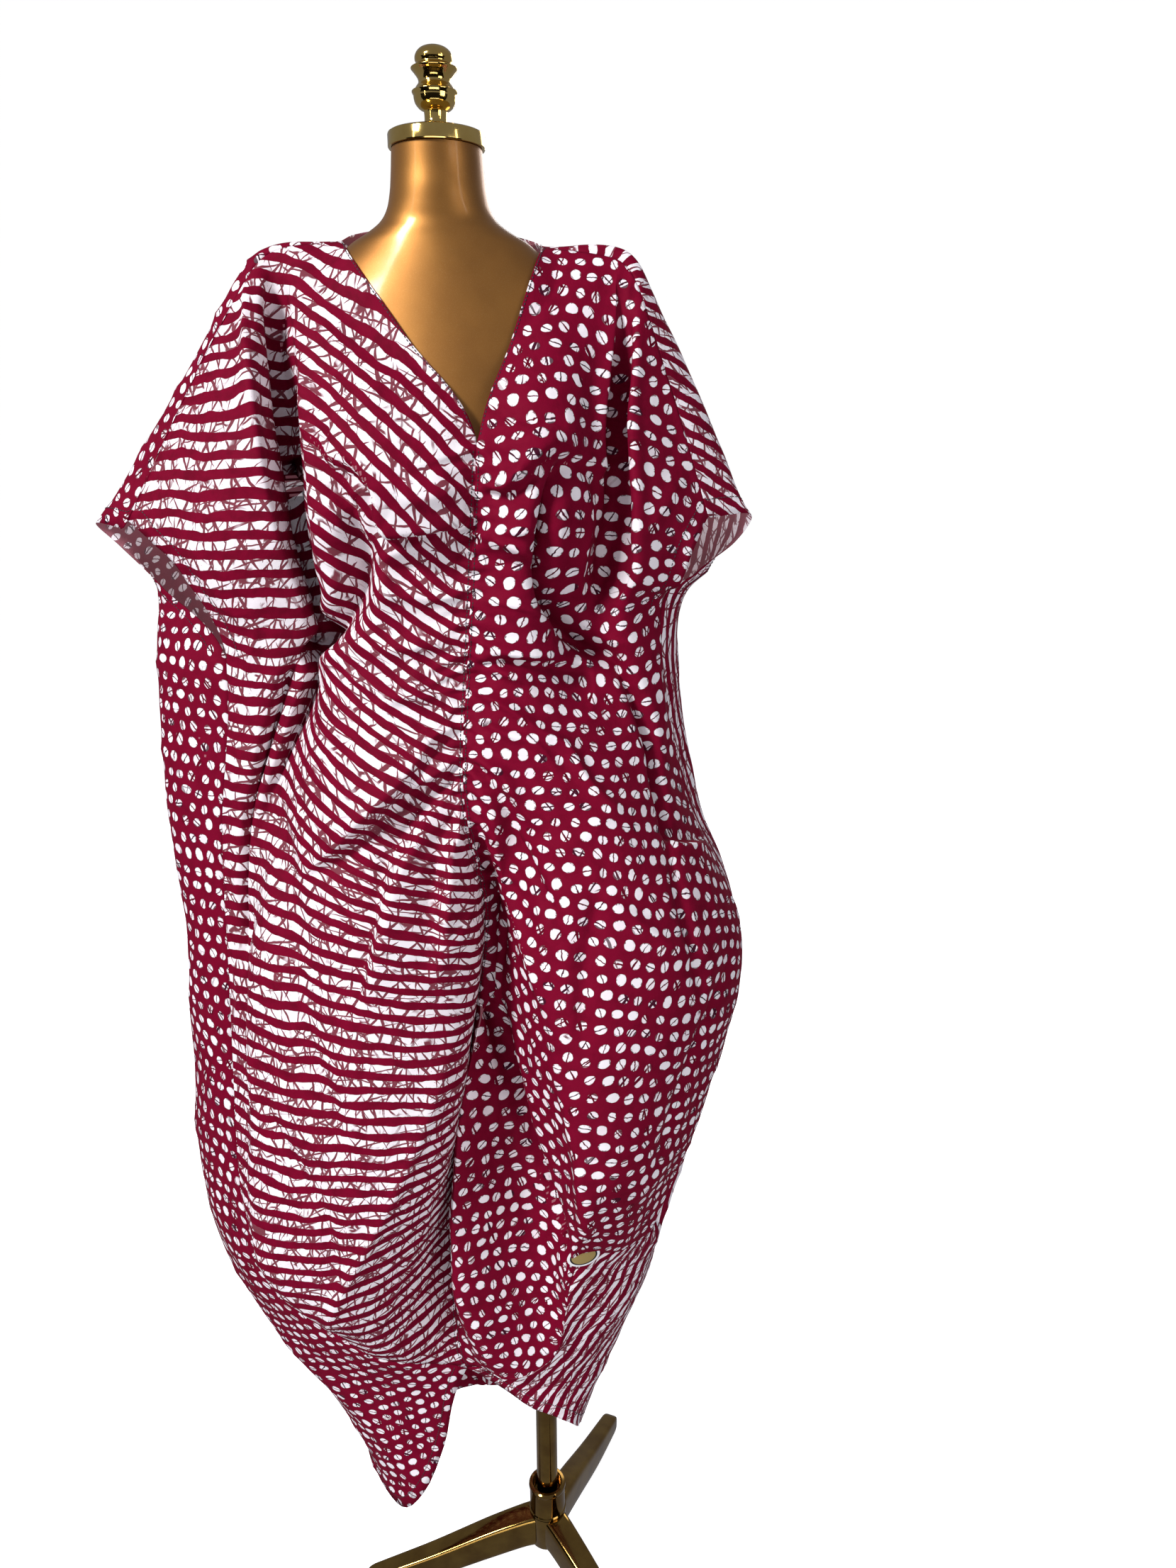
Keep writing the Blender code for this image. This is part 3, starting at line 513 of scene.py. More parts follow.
def eased(cloth, grid, steps, freedom=(1.0, 1.0)):
    """Cloth coordinates eased until each small cell is as large on the flat cloth as on the panel.

    Each cell is turned as it best fits its place on the flat cloth, never mirrored, and pulls its four edges
    towards its own. freedom is how freely u and v may change.
    """
    along = (grid[:-1, 1:] - grid[:-1, :-1] + grid[1:, 1:] - grid[1:, :-1]) * MM / 2
    down = (grid[1:, :-1] - grid[:-1, :-1] + grid[1:, 1:] - grid[:-1, 1:]) * MM / 2
    wide = np.maximum(np.linalg.norm(along, axis=-1), 1e-5)
    high = np.maximum(np.linalg.norm(down, axis=-1), 1e-5)
    lean = np.clip((along * down).sum(-1) / (wide * high), -0.95, 0.95)
    down_x, down_y = high * lean, high * np.sqrt(1 - lean**2)
    heavy, light = np.clip(high / wide, 0.2, 5)[..., None], np.clip(wide / high, 0.2, 5)[..., None]
    share = np.zeros(grid.shape[:2] + (1,))
    for row, column in ((0, 0), (0, 1), (1, 0), (1, 1)):
        share[row : row + len(heavy), column : column + heavy.shape[1]] += heavy + light
    flat = cloth.copy()
    speed = np.zeros_like(flat)
    for _ in range(steps):
        across_top, across_low = flat[:-1, 1:] - flat[:-1, :-1], flat[1:, 1:] - flat[1:, :-1]
        down_left, down_right = flat[1:, :-1] - flat[:-1, :-1], flat[1:, 1:] - flat[:-1, 1:]
        mean_across, mean_down = (across_top + across_low) / 2, (down_left + down_right) / 2
        sine = (wide * mean_across[..., 1]) * heavy[..., 0]
        sine += (down_x * mean_down[..., 1] - down_y * mean_down[..., 0]) * light[..., 0]
        cosine = (wide * mean_across[..., 0]) * heavy[..., 0]
        cosine += (down_x * mean_down[..., 0] + down_y * mean_down[..., 1]) * light[..., 0]
        size = np.maximum(np.hypot(sine, cosine), 1e-12)
        sine, cosine = sine / size, cosine / size
        want_across = np.stack([wide * cosine, wide * sine], axis=-1)
        want_down = np.stack([down_x * cosine - down_y * sine, down_x * sine + down_y * cosine], axis=-1)
        move = np.zeros_like(flat)
        top, low = (across_top - want_across) * heavy, (across_low - want_across) * heavy
        left, right = (down_left - want_down) * light, (down_right - want_down) * light
        move[:-1, :-1] += top + left
        move[:-1, 1:] += right - top
        move[1:, :-1] += low - left
        move[1:, 1:] -= low + right
        speed = 0.9 * speed + move / (share * 1.6)
        flat += speed * freedom
    return flat


def back_print(grid):
    """Cloth coordinates of a back panel in metres: u is the length across, v the length down."""
    return np.stack([walked(grid, 1, MM), walked(grid, 0, MM)], axis=-1)


def sheet_mesh(name, outer, normal, cloth, finish, slot, lined=True):
    """A closed thin wall from a grid: its outer face, the inner face one wall thickness in, and the rim."""
    rows, columns = outer.shape[:2]
    count = rows * columns
    number = np.arange(count).reshape(rows, columns)
    a, b, c, d = number[:-1, :-1], number[:-1, 1:], number[1:, 1:], number[1:, :-1]
    quads = np.stack([a, b, c, d], axis=-1).reshape(-1, 4)
    sample = quads[:: max(1, len(quads) // 2000)]
    corner = outer.reshape(-1, 3)[sample]
    facing = np.cross(corner[:, 1] - corner[:, 0], corner[:, 3] - corner[:, 0])
    mirrored = (facing * normal.reshape(-1, 3)[sample[:, 0]]).sum() < 0
    if mirrored:
        quads = quads[:, ::-1]
    loop = np.concatenate([number[0], number[1:, -1], number[-1, ::-1][1:], number[::-1, 0][1:-1]])
    after = np.roll(loop, -1)
    rim = np.stack([loop, loop + count, after + count, after], axis=1)
    if mirrored:
        rim = rim[:, ::-1]
    faces = np.concatenate([quads, quads[:, ::-1] + count, rim])
    points = np.concatenate([outer.reshape(-1, 3), (outer - normal * WALL).reshape(-1, 3)])
    piece = quad_piece(name, points, faces, finish)
    mesh = piece.data
    layer = mesh.uv_layers.new(name="cloth")
    uv = np.concatenate([cloth.reshape(-1, 2)] * 2)[faces.ravel()]
    layer.data.foreach_set("uv", uv.astype(np.float32).ravel())
    # The inner faces take the paler wrong side, with its painted glow
    if lined:
        mesh.materials.append(wrong_side[finish])
        inner = np.zeros(len(faces), np.int32)
        inner[len(quads) : 2 * len(quads)] = 1
        mesh.polygons.foreach_set("material_index", inner)
    return piece


def quad_piece(name, points, faces, finish, sharp=None):
    """An object from millimetre points and rows of four corners, riding on the part's one body."""
    mesh = bpy.data.meshes.new(name)
    points = (np.asarray(points, float) + FORM_AXIS) * MM
    faces = np.asarray(faces)
    mesh.vertices.add(len(points))
    mesh.vertices.foreach_set("co", points.astype(np.float32).ravel())
    mesh.loops.add(faces.size)
    mesh.loops.foreach_set("vertex_index", faces.astype(np.int32).ravel())
    mesh.polygons.add(len(faces))
    mesh.polygons.foreach_set("loop_start", np.arange(0, faces.size, faces.shape[1], dtype=np.int32))
    mesh.materials.append(finish)
    mesh.update(calc_edges=True)
    mesh.validate()
    mesh.shade_smooth()
    if sharp:
        mesh.set_sharp_from_angle(angle=math.radians(sharp))
    piece = bpy.data.objects.new(name, mesh)
    bpy.context.scene.collection.objects.link(piece)
    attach(piece, "root")
    return piece


class Value:
    """A number inside a material. An operator on it adds the Math node that works the result out."""

    def __init__(self, finish, socket):
        self.finish = finish
        self.socket = socket

    def math(self, operation, *values):
        return self.finish.node("ShaderNodeMath", {"operation": operation}, dict(enumerate(values)))

    def __add__(self, other):
        return self.math("ADD", self, other)

    __radd__ = __add__

    def __sub__(self, other):
        return self.math("SUBTRACT", self, other)

    def __rsub__(self, other):
        return self.math("SUBTRACT", other, self)

    def __mul__(self, other):
        return self.math("MULTIPLY", self, other)

    def __truediv__(self, other):
        return self.math("DIVIDE", self, other)

    def __pow__(self, other):
        return self.math("POWER", self, other)

    def size(self):
        return self.math("ABSOLUTE", self)

    def floor(self):
        return self.math("FLOOR", self)

    def rest(self):
        """What is left above the whole number, from 0 to 1."""
        return self.math("FRACT", self)

    def most(self, other):
        return self.math("MAXIMUM", self, other)

    def ramp(self, low, high):
        """0 below low, 1 above high, and an S curve between them."""
        sockets = {"Value": self, "From Min": low, "From Max": high}
        return self.finish.node("ShaderNodeMapRange", {"interpolation_type": "SMOOTHSTEP"}, sockets)


class Finish:
    """One material: its shader, and the nodes that feed it."""

    def __init__(self, name, **fixed):
        self.material = bpy.data.materials.new(name)
        self.material.use_nodes = True
        self.nodes = self.material.node_tree.nodes
        self.links = self.material.node_tree.links
        self.shader = self.nodes["Principled BSDF"]
        for socket, value in fixed.items():
            self.shader.inputs[socket.replace("_", " ")].default_value = value

    def feed(self, socket, value):
        if isinstance(value, Value):
            self.links.new(value.socket, socket)
        elif isinstance(value, tuple) and len(value) == 3 and socket.type == "RGBA":
            socket.default_value = (*value, 1.0)
        else:
            socket.default_value = value

    def node(self, kind, settings, sockets, out=0):
        """Any node: its type, its settings, and the values or links of its sockets."""
        made = self.nodes.new(kind)
        for key, value in settings.items():
            setattr(made, key, value)
        for key, value in sockets.items():
            self.feed(made.inputs[key], value)
        return Value(self, made.outputs[out])

    def surface(self, **sockets):
        for socket, value in sockets.items():
            self.feed(self.shader.inputs[socket.replace("_", " ")], value)

    def coloured(self, colour, paling_and_glow):
        """The printed colour, or the paler wrong side with a painted glow for light shining through the
        cloth.
        """
        # Painted light: the wrong side glows a little in its own paler colour
        if paling_and_glow:
            colour = self.mixed(paling_and_glow, colour, WRONG_SIDE)
            self.surface(Emission_Color=colour, Emission_Strength=PAINTED_GLOW_THROUGH)
        self.surface(Base_Color=colour)

    def place(self):
        return self.node("ShaderNodeTexCoord", {}, {}, "Object")

    def cloth(self):
        """The cloth coordinates u and v of a panel, in metres, and both as one vector."""
        uv = self.node("ShaderNodeUVMap", {"uv_map": "cloth"}, {})
        return *self.halves(uv), uv

    def halves(self, where):
        """The first two coordinates of a vector."""
        return tuple(self.node("ShaderNodeSeparateXYZ", {}, {0: where}, axis) for axis in (0, 1))

    def vector(self, x, y, z):
        return self.node("ShaderNodeCombineXYZ", {}, {0: x, 1: y, 2: z})

    def noise(self, where, scale, detail=2.0, rough=0.5, out=0):
        sockets = {"Vector": where, "Scale": scale, "Detail": detail, "Roughness": rough}
        return self.node("ShaderNodeTexNoise", {}, sockets, out)

    def cracks(self, where, scale):
        """The distance to the nearest border between random cells, in cells."""
        sockets = {"Vector": where, "Scale": scale, "Randomness": 1.0}
        return self.node("ShaderNodeTexVoronoi", {"feature": "DISTANCE_TO_EDGE"}, sockets)

    def chance(self, where):
        """A number from 0 to 1 that is the same for equal vectors."""
        return self.node("ShaderNodeTexWhiteNoise", {"noise_dimensions": "3D"}, {"Vector": where})

    def mixed(self, share, first, second):
        """The first colour where share is 0, the second where it is 1."""
        return self.node("ShaderNodeMix", {"data_type": "RGBA"}, {0: share, 6: first, 7: second}, 2)

    def moved(self, where, by, amount):
        """A vector moved by a colour of noise, by amount each way."""
        centred = self.vectors("SUBTRACT", {0: by, 1: (0.5, 0.5, 0.5)})
        return self.vectors("ADD", {0: where, 1: self.vectors("SCALE", {0: centred, "Scale": amount})})

    def vectors(self, operation, sockets, out=0):
        return self.node("ShaderNodeVectorMath", {"operation": operation}, sockets, out)

    def bump(self, height, distance, strength, normal=None):
        sockets = {"Height": height, "Distance": distance, "Strength": strength}
        if normal is not None:
            sockets["Normal"] = normal
        return self.node("ShaderNodeBump", {}, sockets)


CRIMSON = (0.178, 0.0006, 0.019)
DARK_CRIMSON = (0.106, 0.0005, 0.011)
WHITE = (0.86, 0.80, 0.84)
PINKISH = (0.76, 0.64, 0.69)
BLACKISH = (0.05, 0.004, 0.016)
WRONG_SIDE = (0.80, 0.64, 0.70)
SLASH_RED = (0.14, 0.004, 0.02)
# How much paler the wrong side is, which also turns on its painted glow, and the strength of that glow,
# standing in for light shining through the cloth
FADED = 0.14
PAINTED_GLOW_THROUGH = 0.30
STRIPE_PITCH = 0.0200
SLANT_PITCH = 0.0165
SLANT_TILT = 86
STRIPE_SHARE = 0.51
DOT_PITCH = 0.0190
DOT_RADIUS = 0.292
THREAD_WAVES = 12500.0

# Straight dye cracks. Each row: angle to the cloth's u in degrees, length and width of a cell and thickness
# of a line in metres, share of the cells that have one
CRACK_SETS = (
    (57, 0.052, 0.0135, 0.00115, 0.80),
    (117, 0.058, 0.0150, 0.00115, 0.74),
    (17, 0.064, 0.0170, 0.00095, 0.64),
    (86, 0.040, 0.0110, 0.00095, 0.62),
)


def crack_set(cloth, u, v, angle, length, apart, thick, share):
    """At most one straight line in each cell of a turned grid, with a place and slant of its own."""
    cosine, sine = math.cos(math.radians(angle)), math.sin(math.radians(angle))
    across = (v * cosine - u * sine) / apart
    row = across.floor()
    along = (u * cosine + v * sine) / length + cloth.chance(cloth.vector(row, angle, 3.0))
    cell = cloth.vector(along.floor(), row, angle)
    place, slant = cloth.chance(cell), cloth.chance(cloth.vector(row, along.floor(), angle))
    shown = cloth.chance(cloth.vector(along.floor(), row, angle + 0.5))
    x = along.rest() - 0.5
    y = across.rest() - 0.5 - (place - 0.5) * 0.5 - x * (slant - 0.5) * 0.9
    width = (1 - (x * 2) ** 2) * (thick / apart) * (0.6 + slant)
    line = 1 - (y.size() - width).ramp(0.0, 0.00030 / apart)
    return line * (1 - (shown - share).ramp(0.0, 0.01))


def crackle(cloth, where, wide, sets=CRACK_SETS):
    """The dye lines where the wax cracked: a net of random cells in patches, and sets of straight cracks."""
    warp = cloth.noise(where, 60.0, 2.0, 0.55, out=1)
    bent = cloth.moved(where, warp, 0.0045)
    u, v = cloth.halves(bent)
    net = 1 - cloth.cracks(bent, 66.0).ramp(wide * 0.5, wide)
    red = net * cloth.noise(where, 24.0, 2.0, 0.6).ramp(0.50, 0.56)
    for number, row in enumerate(sets):
        patch = cloth.noise(cloth.moved(where, warp, 0.02), 15.0 + 4.0 * number, 2.0, 0.5)
        red = red.most(crack_set(cloth, u, v, *row) * patch.ramp(0.32, 0.42))
    return red


def weave_normal(cloth, u, v, where):
    """The fine plain weave and the small dents of worn cotton."""
    threads = u.math("SINE", u * THREAD_WAVES) * v.math("SINE", v * THREAD_WAVES)
    dents = cloth.noise(where, 90.0, 3.0, 0.55)
    first = cloth.bump(dents, 0.0016, 0.6)
    return cloth.bump(threads, 0.00005, 0.25, first)


def striped_batik(name, tilt, pitch, paling_and_glow=0.0):
    """White cotton with crackle and wavy crimson stripes, pitch apart and turned by tilt in degrees."""
    cloth = Finish(name, Specular_IOR_Level=0.06, Metallic=0.0)
    u, v, where = cloth.cloth()
    slow = cloth.noise(where, 13.0, 2.0, 0.5)
    fast = cloth.noise(where, 70.0, 2.0, 0.5)
    across = (v * math.cos(math.radians(tilt)) + u * math.sin(math.radians(tilt))) / pitch
    phase = across + (slow - 0.5) * 0.95 + (fast - 0.5) * 0.20
    off_line = ((phase + 0.5).rest() - 0.5).size() * 2
    width = STRIPE_SHARE + (cloth.noise(where, 40.0, 2.0, 0.5) - 0.5) * 0.42
    width = width + (cloth.noise(where, 260.0, 2.0, 0.5) - 0.5) * 0.08
    line = 1 - (off_line - width).ramp(-0.015, 0.025)
    crack = crackle(cloth, where, 0.085)
    cloudy = cloth.noise(where, 26.0, 3.0, 0.6).ramp(0.42, 0.8)
    speckle = cloth.noise(where, 420.0, 2.0, 0.7).ramp(0.64, 0.72)
    speckle = speckle * cloth.noise(where, 16.0, 2.0, 0.6).ramp(0.42, 0.60)
    ground = cloth.mixed(cloudy * 0.6, WHITE, PINKISH)
    dye = cloth.mixed(cloth.noise(where, 60.0, 3.0, 0.6).ramp(0.35, 0.75) * 0.7, CRIMSON, DARK_CRIMSON)
    red = line.most(crack * 0.95).most(speckle * 0.8)
    dark = crack * (1 - line) * 0.35
    colour = cloth.mixed(red, ground, cloth.mixed(dark, dye, SLASH_RED))
    cloth.coloured(colour, paling_and_glow)
    cloth.surface(Roughness=0.72 + cloudy * 0.12)
    cloth.surface(Normal=weave_normal(cloth, u, v, where))
    return cloth.material


def dotted_batik(name, paling_and_glow=0.0):
    """Crimson cotton with rows of white dots, most of them slashed or cracked by the dye."""
    cloth = Finish(name, Specular_IOR_Level=0.06, Metallic=0.0)
    u, v, where = cloth.cloth()
    drift = cloth.noise(where, 9.0, 1.0, 0.5, out=1)
    bent = cloth.moved(where, drift, 0.022)
    bu, bv = (half / DOT_PITCH for half in cloth.halves(bent))
    bu = bu + cloth.chance(cloth.vector(bv.floor(), 5.0, 1.0)) * 0.35 + (bv.floor() * 0.5).rest()
    cell = cloth.vector(bu.floor(), bv.floor(), 0.0)
    first, second = cloth.chance(cell), cloth.chance(cloth.vector(bv.floor(), bu.floor(), 7.0))
    third = cloth.chance(cloth.vector(bu.floor(), bv.floor(), 19.0))
    x = bu.rest() - 0.5 + (first - 0.5) * 0.16
    y = bv.rest() - 0.5 + (second - 0.5) * 0.16
    wobble = (cloth.noise(where, 130.0, 1.0, 0.5) - 0.5) * 0.13
    squash = 1 + (third - 0.5) * 0.28
    far = ((x * squash) ** 2 + (y / squash) ** 2) ** 0.5 + wobble
    size = DOT_RADIUS + (second - 0.5) * 0.07
    dot = 1 - (far - size).ramp(-0.02, 0.02)
    turn = third * (2 * math.pi)
    cosine, sine = turn.math("COSINE", turn), turn.math("SINE", turn)
    off = x * cosine + y * sine + (cloth.noise(where, 230.0, 1.0, 0.5) - 0.5) * 0.13
    slash = (1 - (off.size() - 0.012 - first * 0.02).ramp(0.0, 0.03)) * (1 - (second - 0.70).ramp(0.0, 0.01))
    wedge = (off - 0.10 - second * 0.2).ramp(0.0, 0.03) * (first - 0.66).ramp(0.0, 0.01)
    rim = (far - size * 0.74).ramp(0.0, 0.05) * cloth.noise(where, 170.0, 2.0, 0.6).ramp(0.55, 0.62)
    crack = crackle(cloth, where, 0.045, CRACK_SETS[:2]) * (first - 0.5).ramp(0.0, 0.05)
    marks = slash.most(rim * 0.85).most(crack).most(wedge * 0.92)
    tint = cloth.mixed(first.ramp(0.2, 1.0) * 0.55, WHITE, PINKISH)
    inside = cloth.mixed(marks, tint, cloth.mixed(third.ramp(0.3, 0.6), BLACKISH, DARK_CRIMSON))
    mottled = cloth.noise(where, 42.0, 4.0, 0.62).ramp(0.38, 0.80)
    ground = cloth.mixed(mottled * 0.55, CRIMSON, DARK_CRIMSON)
    edge = (far - size).size().ramp(0.0, 0.07)
    ground = cloth.mixed((1 - edge) * 0.45, ground, DARK_CRIMSON)
    colour = cloth.mixed(dot, ground, inside)
    cloth.coloured(colour, paling_and_glow)
    cloth.surface(Roughness=0.70 + mottled * 0.12)
    cloth.surface(Normal=weave_normal(cloth, u, v, where))
    return cloth.material


def gold_paint():
    """Satin bronze gold paint with fine flakes and a few faint scuffs."""
    paint = Finish("gold_paint_on_form", Metallic=0.8, Coat_Weight=0.25, Coat_Roughness=0.12)
    where = paint.place()
    cloudy = paint.noise(where, 9.0, 3.0, 0.55)
    flakes = paint.noise(where, 1600.0, 1.0, 0.5)
    colour = paint.mixed(cloudy.ramp(0.3, 0.75), (0.33, 0.145, 0.030), (0.25, 0.105, 0.022))
    colour = paint.mixed(flakes.ramp(0.55, 0.75) * 0.35, colour, (0.40, 0.23, 0.08))
    paint.surface(Base_Color=colour)
    paint.surface(Roughness=0.38 + paint.noise(where, 30.0, 4.0, 0.6) * 0.12)
    paint.surface(Normal=paint.bump(flakes, 0.0001, 0.3))
    return paint.material


def polished_brass(name, light, dark):
    """Polished brass plate with faint drawn lines and thumb marks."""
    brass = Finish(name, Metallic=1.0)
    where = brass.place()
    cloudy = brass.noise(where, 24.0, 4.0, 0.6)
    colour = brass.mixed(cloudy.ramp(0.3, 0.7), light, dark)
    brass.surface(Base_Color=colour)
    brass.surface(Roughness=0.05 + brass.noise(where, 60.0, 4.0, 0.65) * 0.10)
    brass.surface(Normal=brass.bump(brass.noise(where, 900.0, 2.0, 0.5), 0.00004, 0.3))
    return brass.material


def black_thread():
    """Dull black sewing thread."""
    thread = Finish("black_thread", Metallic=0.0)
    where = thread.place()
    twist = thread.noise(where, 1500.0, 2.0, 0.6)
    thread.surface(Base_Color=thread.mixed(twist, (0.006, 0.005, 0.008), (0.035, 0.03, 0.04)))
    thread.surface(Roughness=0.55 + twist * 0.2)
    return thread.material


def fine_fronts(even):
    """Fine front grids, closest next to the gathered centre seam."""
    gathered = np.linspace(V_BOTTOM_ROW, GATHER_END_ROW, 176)
    plain = np.linspace(GATHER_END_ROW, FRONT_ROWS, 92)
    down = np.concatenate([np.linspace(0, V_BOTTOM_ROW, V_POINTS + 1)[:-1], gathered[:-1], plain])
    across = np.concatenate([np.linspace(0, 2, 45)[:-1], np.linspace(2, FRONT_COLUMNS, 106)])
    return finer(even, down * ROW_POINTS, across * COLUMN_POINTS), down, across


def fine_back(even):
    """A fine back grid, or its cloth coordinates, read from the even one."""
    return finer(even, np.linspace(0, even.shape[0] - 1, 250), np.linspace(0, even.shape[1] - 1, 172))


# Gathers along the centre seam: about two dozen single pleats, then finer puckers. Each row: first and last
# place, counted from the ends of the gathered stretch, least and most height, width, slant, reach and
# spacing, slant at the top, growth of the slant down the seam, way in which a pleat grows to twice its width
GATHERS = (
    (6, 4, (3.4, 7.2), (3.8, 6.6), (-0.22, 0.22), (30, 95), (15.0, 22.5), -0.25, 1.0, 110),
    (4, 2, (1.8, 3.4), (2.2, 3.2), (-0.35, 0.35), (12, 30), (8.0, 11.0), 0.0, 0.0, math.inf),
)


def seam_pleats(grid, down, seed):
    """How far the gathers push the cloth out.

    Each is a rounded ridge. Both fronts share its place and height at the seam, and each front gives it a
    length and a slant of its own.
    """
    shared, own = np.random.default_rng(GATHER_SEED), np.random.default_rng(seed)
    run = run_along(grid[:, 0])
    start, end = np.interp((V_BOTTOM_ROW, GATHER_END_ROW), down, run)
    away = np.linalg.norm(grid - grid[:, :1], axis=-1)
    push = np.zeros(grid.shape[:2])
    for first, last, heights, widths, slants, reaches, spacings, top_slant, growth, widening in GATHERS:
        place = start + first
        while place < end - last:
            height, width = shared.uniform(*heights), shared.uniform(*widths)
            slant = top_slant + growth * (place - start) / (end - start) + own.uniform(*slants)
            reach = own.uniform(*reaches)
            off = (run[:, None] - place - slant * away) / (width * (1 + away / widening))
            push += height * np.exp(-(off**2)) * np.exp(-((away / reach) ** 2))
            place += shared.uniform(*spacings)
    return push


# Folds drawn over the large form of a panel. Each row: name, height of a ridge (a valley is negative), height
# of a step (raised on the side that lies clockwise of the path, seen from the front right), width, sharpness
# from 0 for a round fold to 1 for a crisp one, then the path as (row, column) places in the panel's table
RIGHT_FOLDS = (
    ("flap edge", 11, 0, 8, 0.8, (0.05, 5.25), (0.35, 5.2), (0.75, 5.1), (1.2, 5.05), (1.8, 5),
     (2.3, 4.9), (2.8, 4.9)),
    ("flap valley", -26, 0, 13, 0.1, (0.25, 4.1), (0.8, 4), (1.4, 4), (2, 4), (2.5, 4.1), (2.9, 4.3)),
    ("body edge", 8, 0, 10, 0.4, (0.5, 3.2), (0.95, 3.05), (1.4, 3), (1.8, 2.95), (2.2, 3), (2.5, 3.3)),
    ("bust edge", 0, 19, 26, 0, (1.62, 2.75), (1.76, 2.55), (1.86, 2.25), (2.05, 2.05), (2.22, 2.08),
     (2.36, 1.95),
     (2.4, 1.6), (2.42, 1.2), (2.42, 0.6), (2.36, 0.1)),
    ("cowl hollow", -24, 0, 13, 0.2, (1.85, 2.7), (2.12, 2.45), (2.38, 2.5), (2.65, 2.7)),
    ("cowl fold one", 5, 0, 6, 0.5, (1.98, 2.75), (2.1, 2.5), (2.28, 2.3), (2.4, 2.3)),
    ("waist fold", -30, 0, 11, 0.3, (2.36, 2.2), (2.5, 2.35), (2.7, 2.55), (2.85, 3), (2.95, 4), (3, 5)),
    ("waist ridge", 10, 0, 11, 0.4, (2.5, 2.7), (2.72, 3.1), (2.8, 3.8), (2.85, 4.6)),
    ("puff top", 10, 0, 13, 0.3, (2.55, 2), (2.8, 2.35), (2.98, 2.9), (3.1, 3.8), (3.15, 4.7)),
    ("puff side", -26, 0, 9, 0.4, (3.05, 5.2), (3.2, 5.3), (3.6, 5.3), (3.9, 5.05), (4.3, 5), (4.9, 5.15)),
    ("puff side edge", 8, 0, 9, 0.6, (3.1, 4.8), (3.3, 5), (3.65, 5), (3.95, 4.75), (4.4, 4.7), (5, 4.85)),
    ("diagonal one", 0, -15, 30, 0, (3.8, 0.2), (3.88, 1), (3.92, 1.5), (4, 1.9), (4.17, 2.35), (4.3, 2.65)),
    ("diagonal two", 0, 17, 30, 0, (3.95, 0.55), (4.08, 1.25), (4.21, 1.5), (4.42, 1.8), (4.75, 1.96),
     (5.1, 2.1)),
    ("diagonal three", 0, 13, 24, 0, (4.05, 0.1), (4.3, 0.95), (4.58, 1.25), (4.9, 1.4)),
    ("diagonal top", 8, 0, 8, 0.6, (3.62, 0.2), (3.58, 0.9), (3.7, 1.3), (3.85, 1.65), (4.05, 2.2)),
    ("diagonal crease", -8, 0, 8, 0.6, (3.72, 0.1), (3.7, 0.9), (3.8, 1.3), (3.95, 1.7)),
    ("puff trough", -12, 0, 20, 0, (3.9, 4), (4.1, 3.3), (4.5, 2.8), (5, 2.6), (5.4, 2.4), (5.7, 2.2),
     (6, 2.1)),
    ("puff dent", -8, 0, 16, 0.2, (4.6, 4.4), (5, 3.9), (5.4, 3.6), (5.9, 3.4)),
    ("low crease", -7, 0, 9, 0.5, (5.4, 3), (5.8, 2.6), (6.3, 2.2), (6.9, 2)),
    ("low ridge", 7, 0, 11, 0.4, (5.5, 1.2), (6, 1.45), (6.5, 1.7), (7, 2.1), (7.5, 2.6)),
    ("upper gather", 8, 0, 9, 0.4, (2.25, 0.2), (2.21, 1), (2.17, 1.55), (2.02, 1.95)),
    ("middle gather", -8, 0, 8, 0.5, (2.67, 0.1), (2.62, 1.05), (2.6, 1.7), (2.52, 2.25)),
    ("waist gather", 8, 0, 8, 0.5, (2.8, 0.1), (2.78, 1), (2.74, 1.7), (2.68, 2.3)),
    ("hip gather", 7, 0, 10, 0.4, (3.1, 0.2), (3.08, 1), (3.05, 1.8), (3, 2.6)),
    ("lower gather", 8, 0, 9, 0.5, (3.46, 0.2), (3.38, 1.1), (3.33, 1.8), (3.2, 2.6)),
)
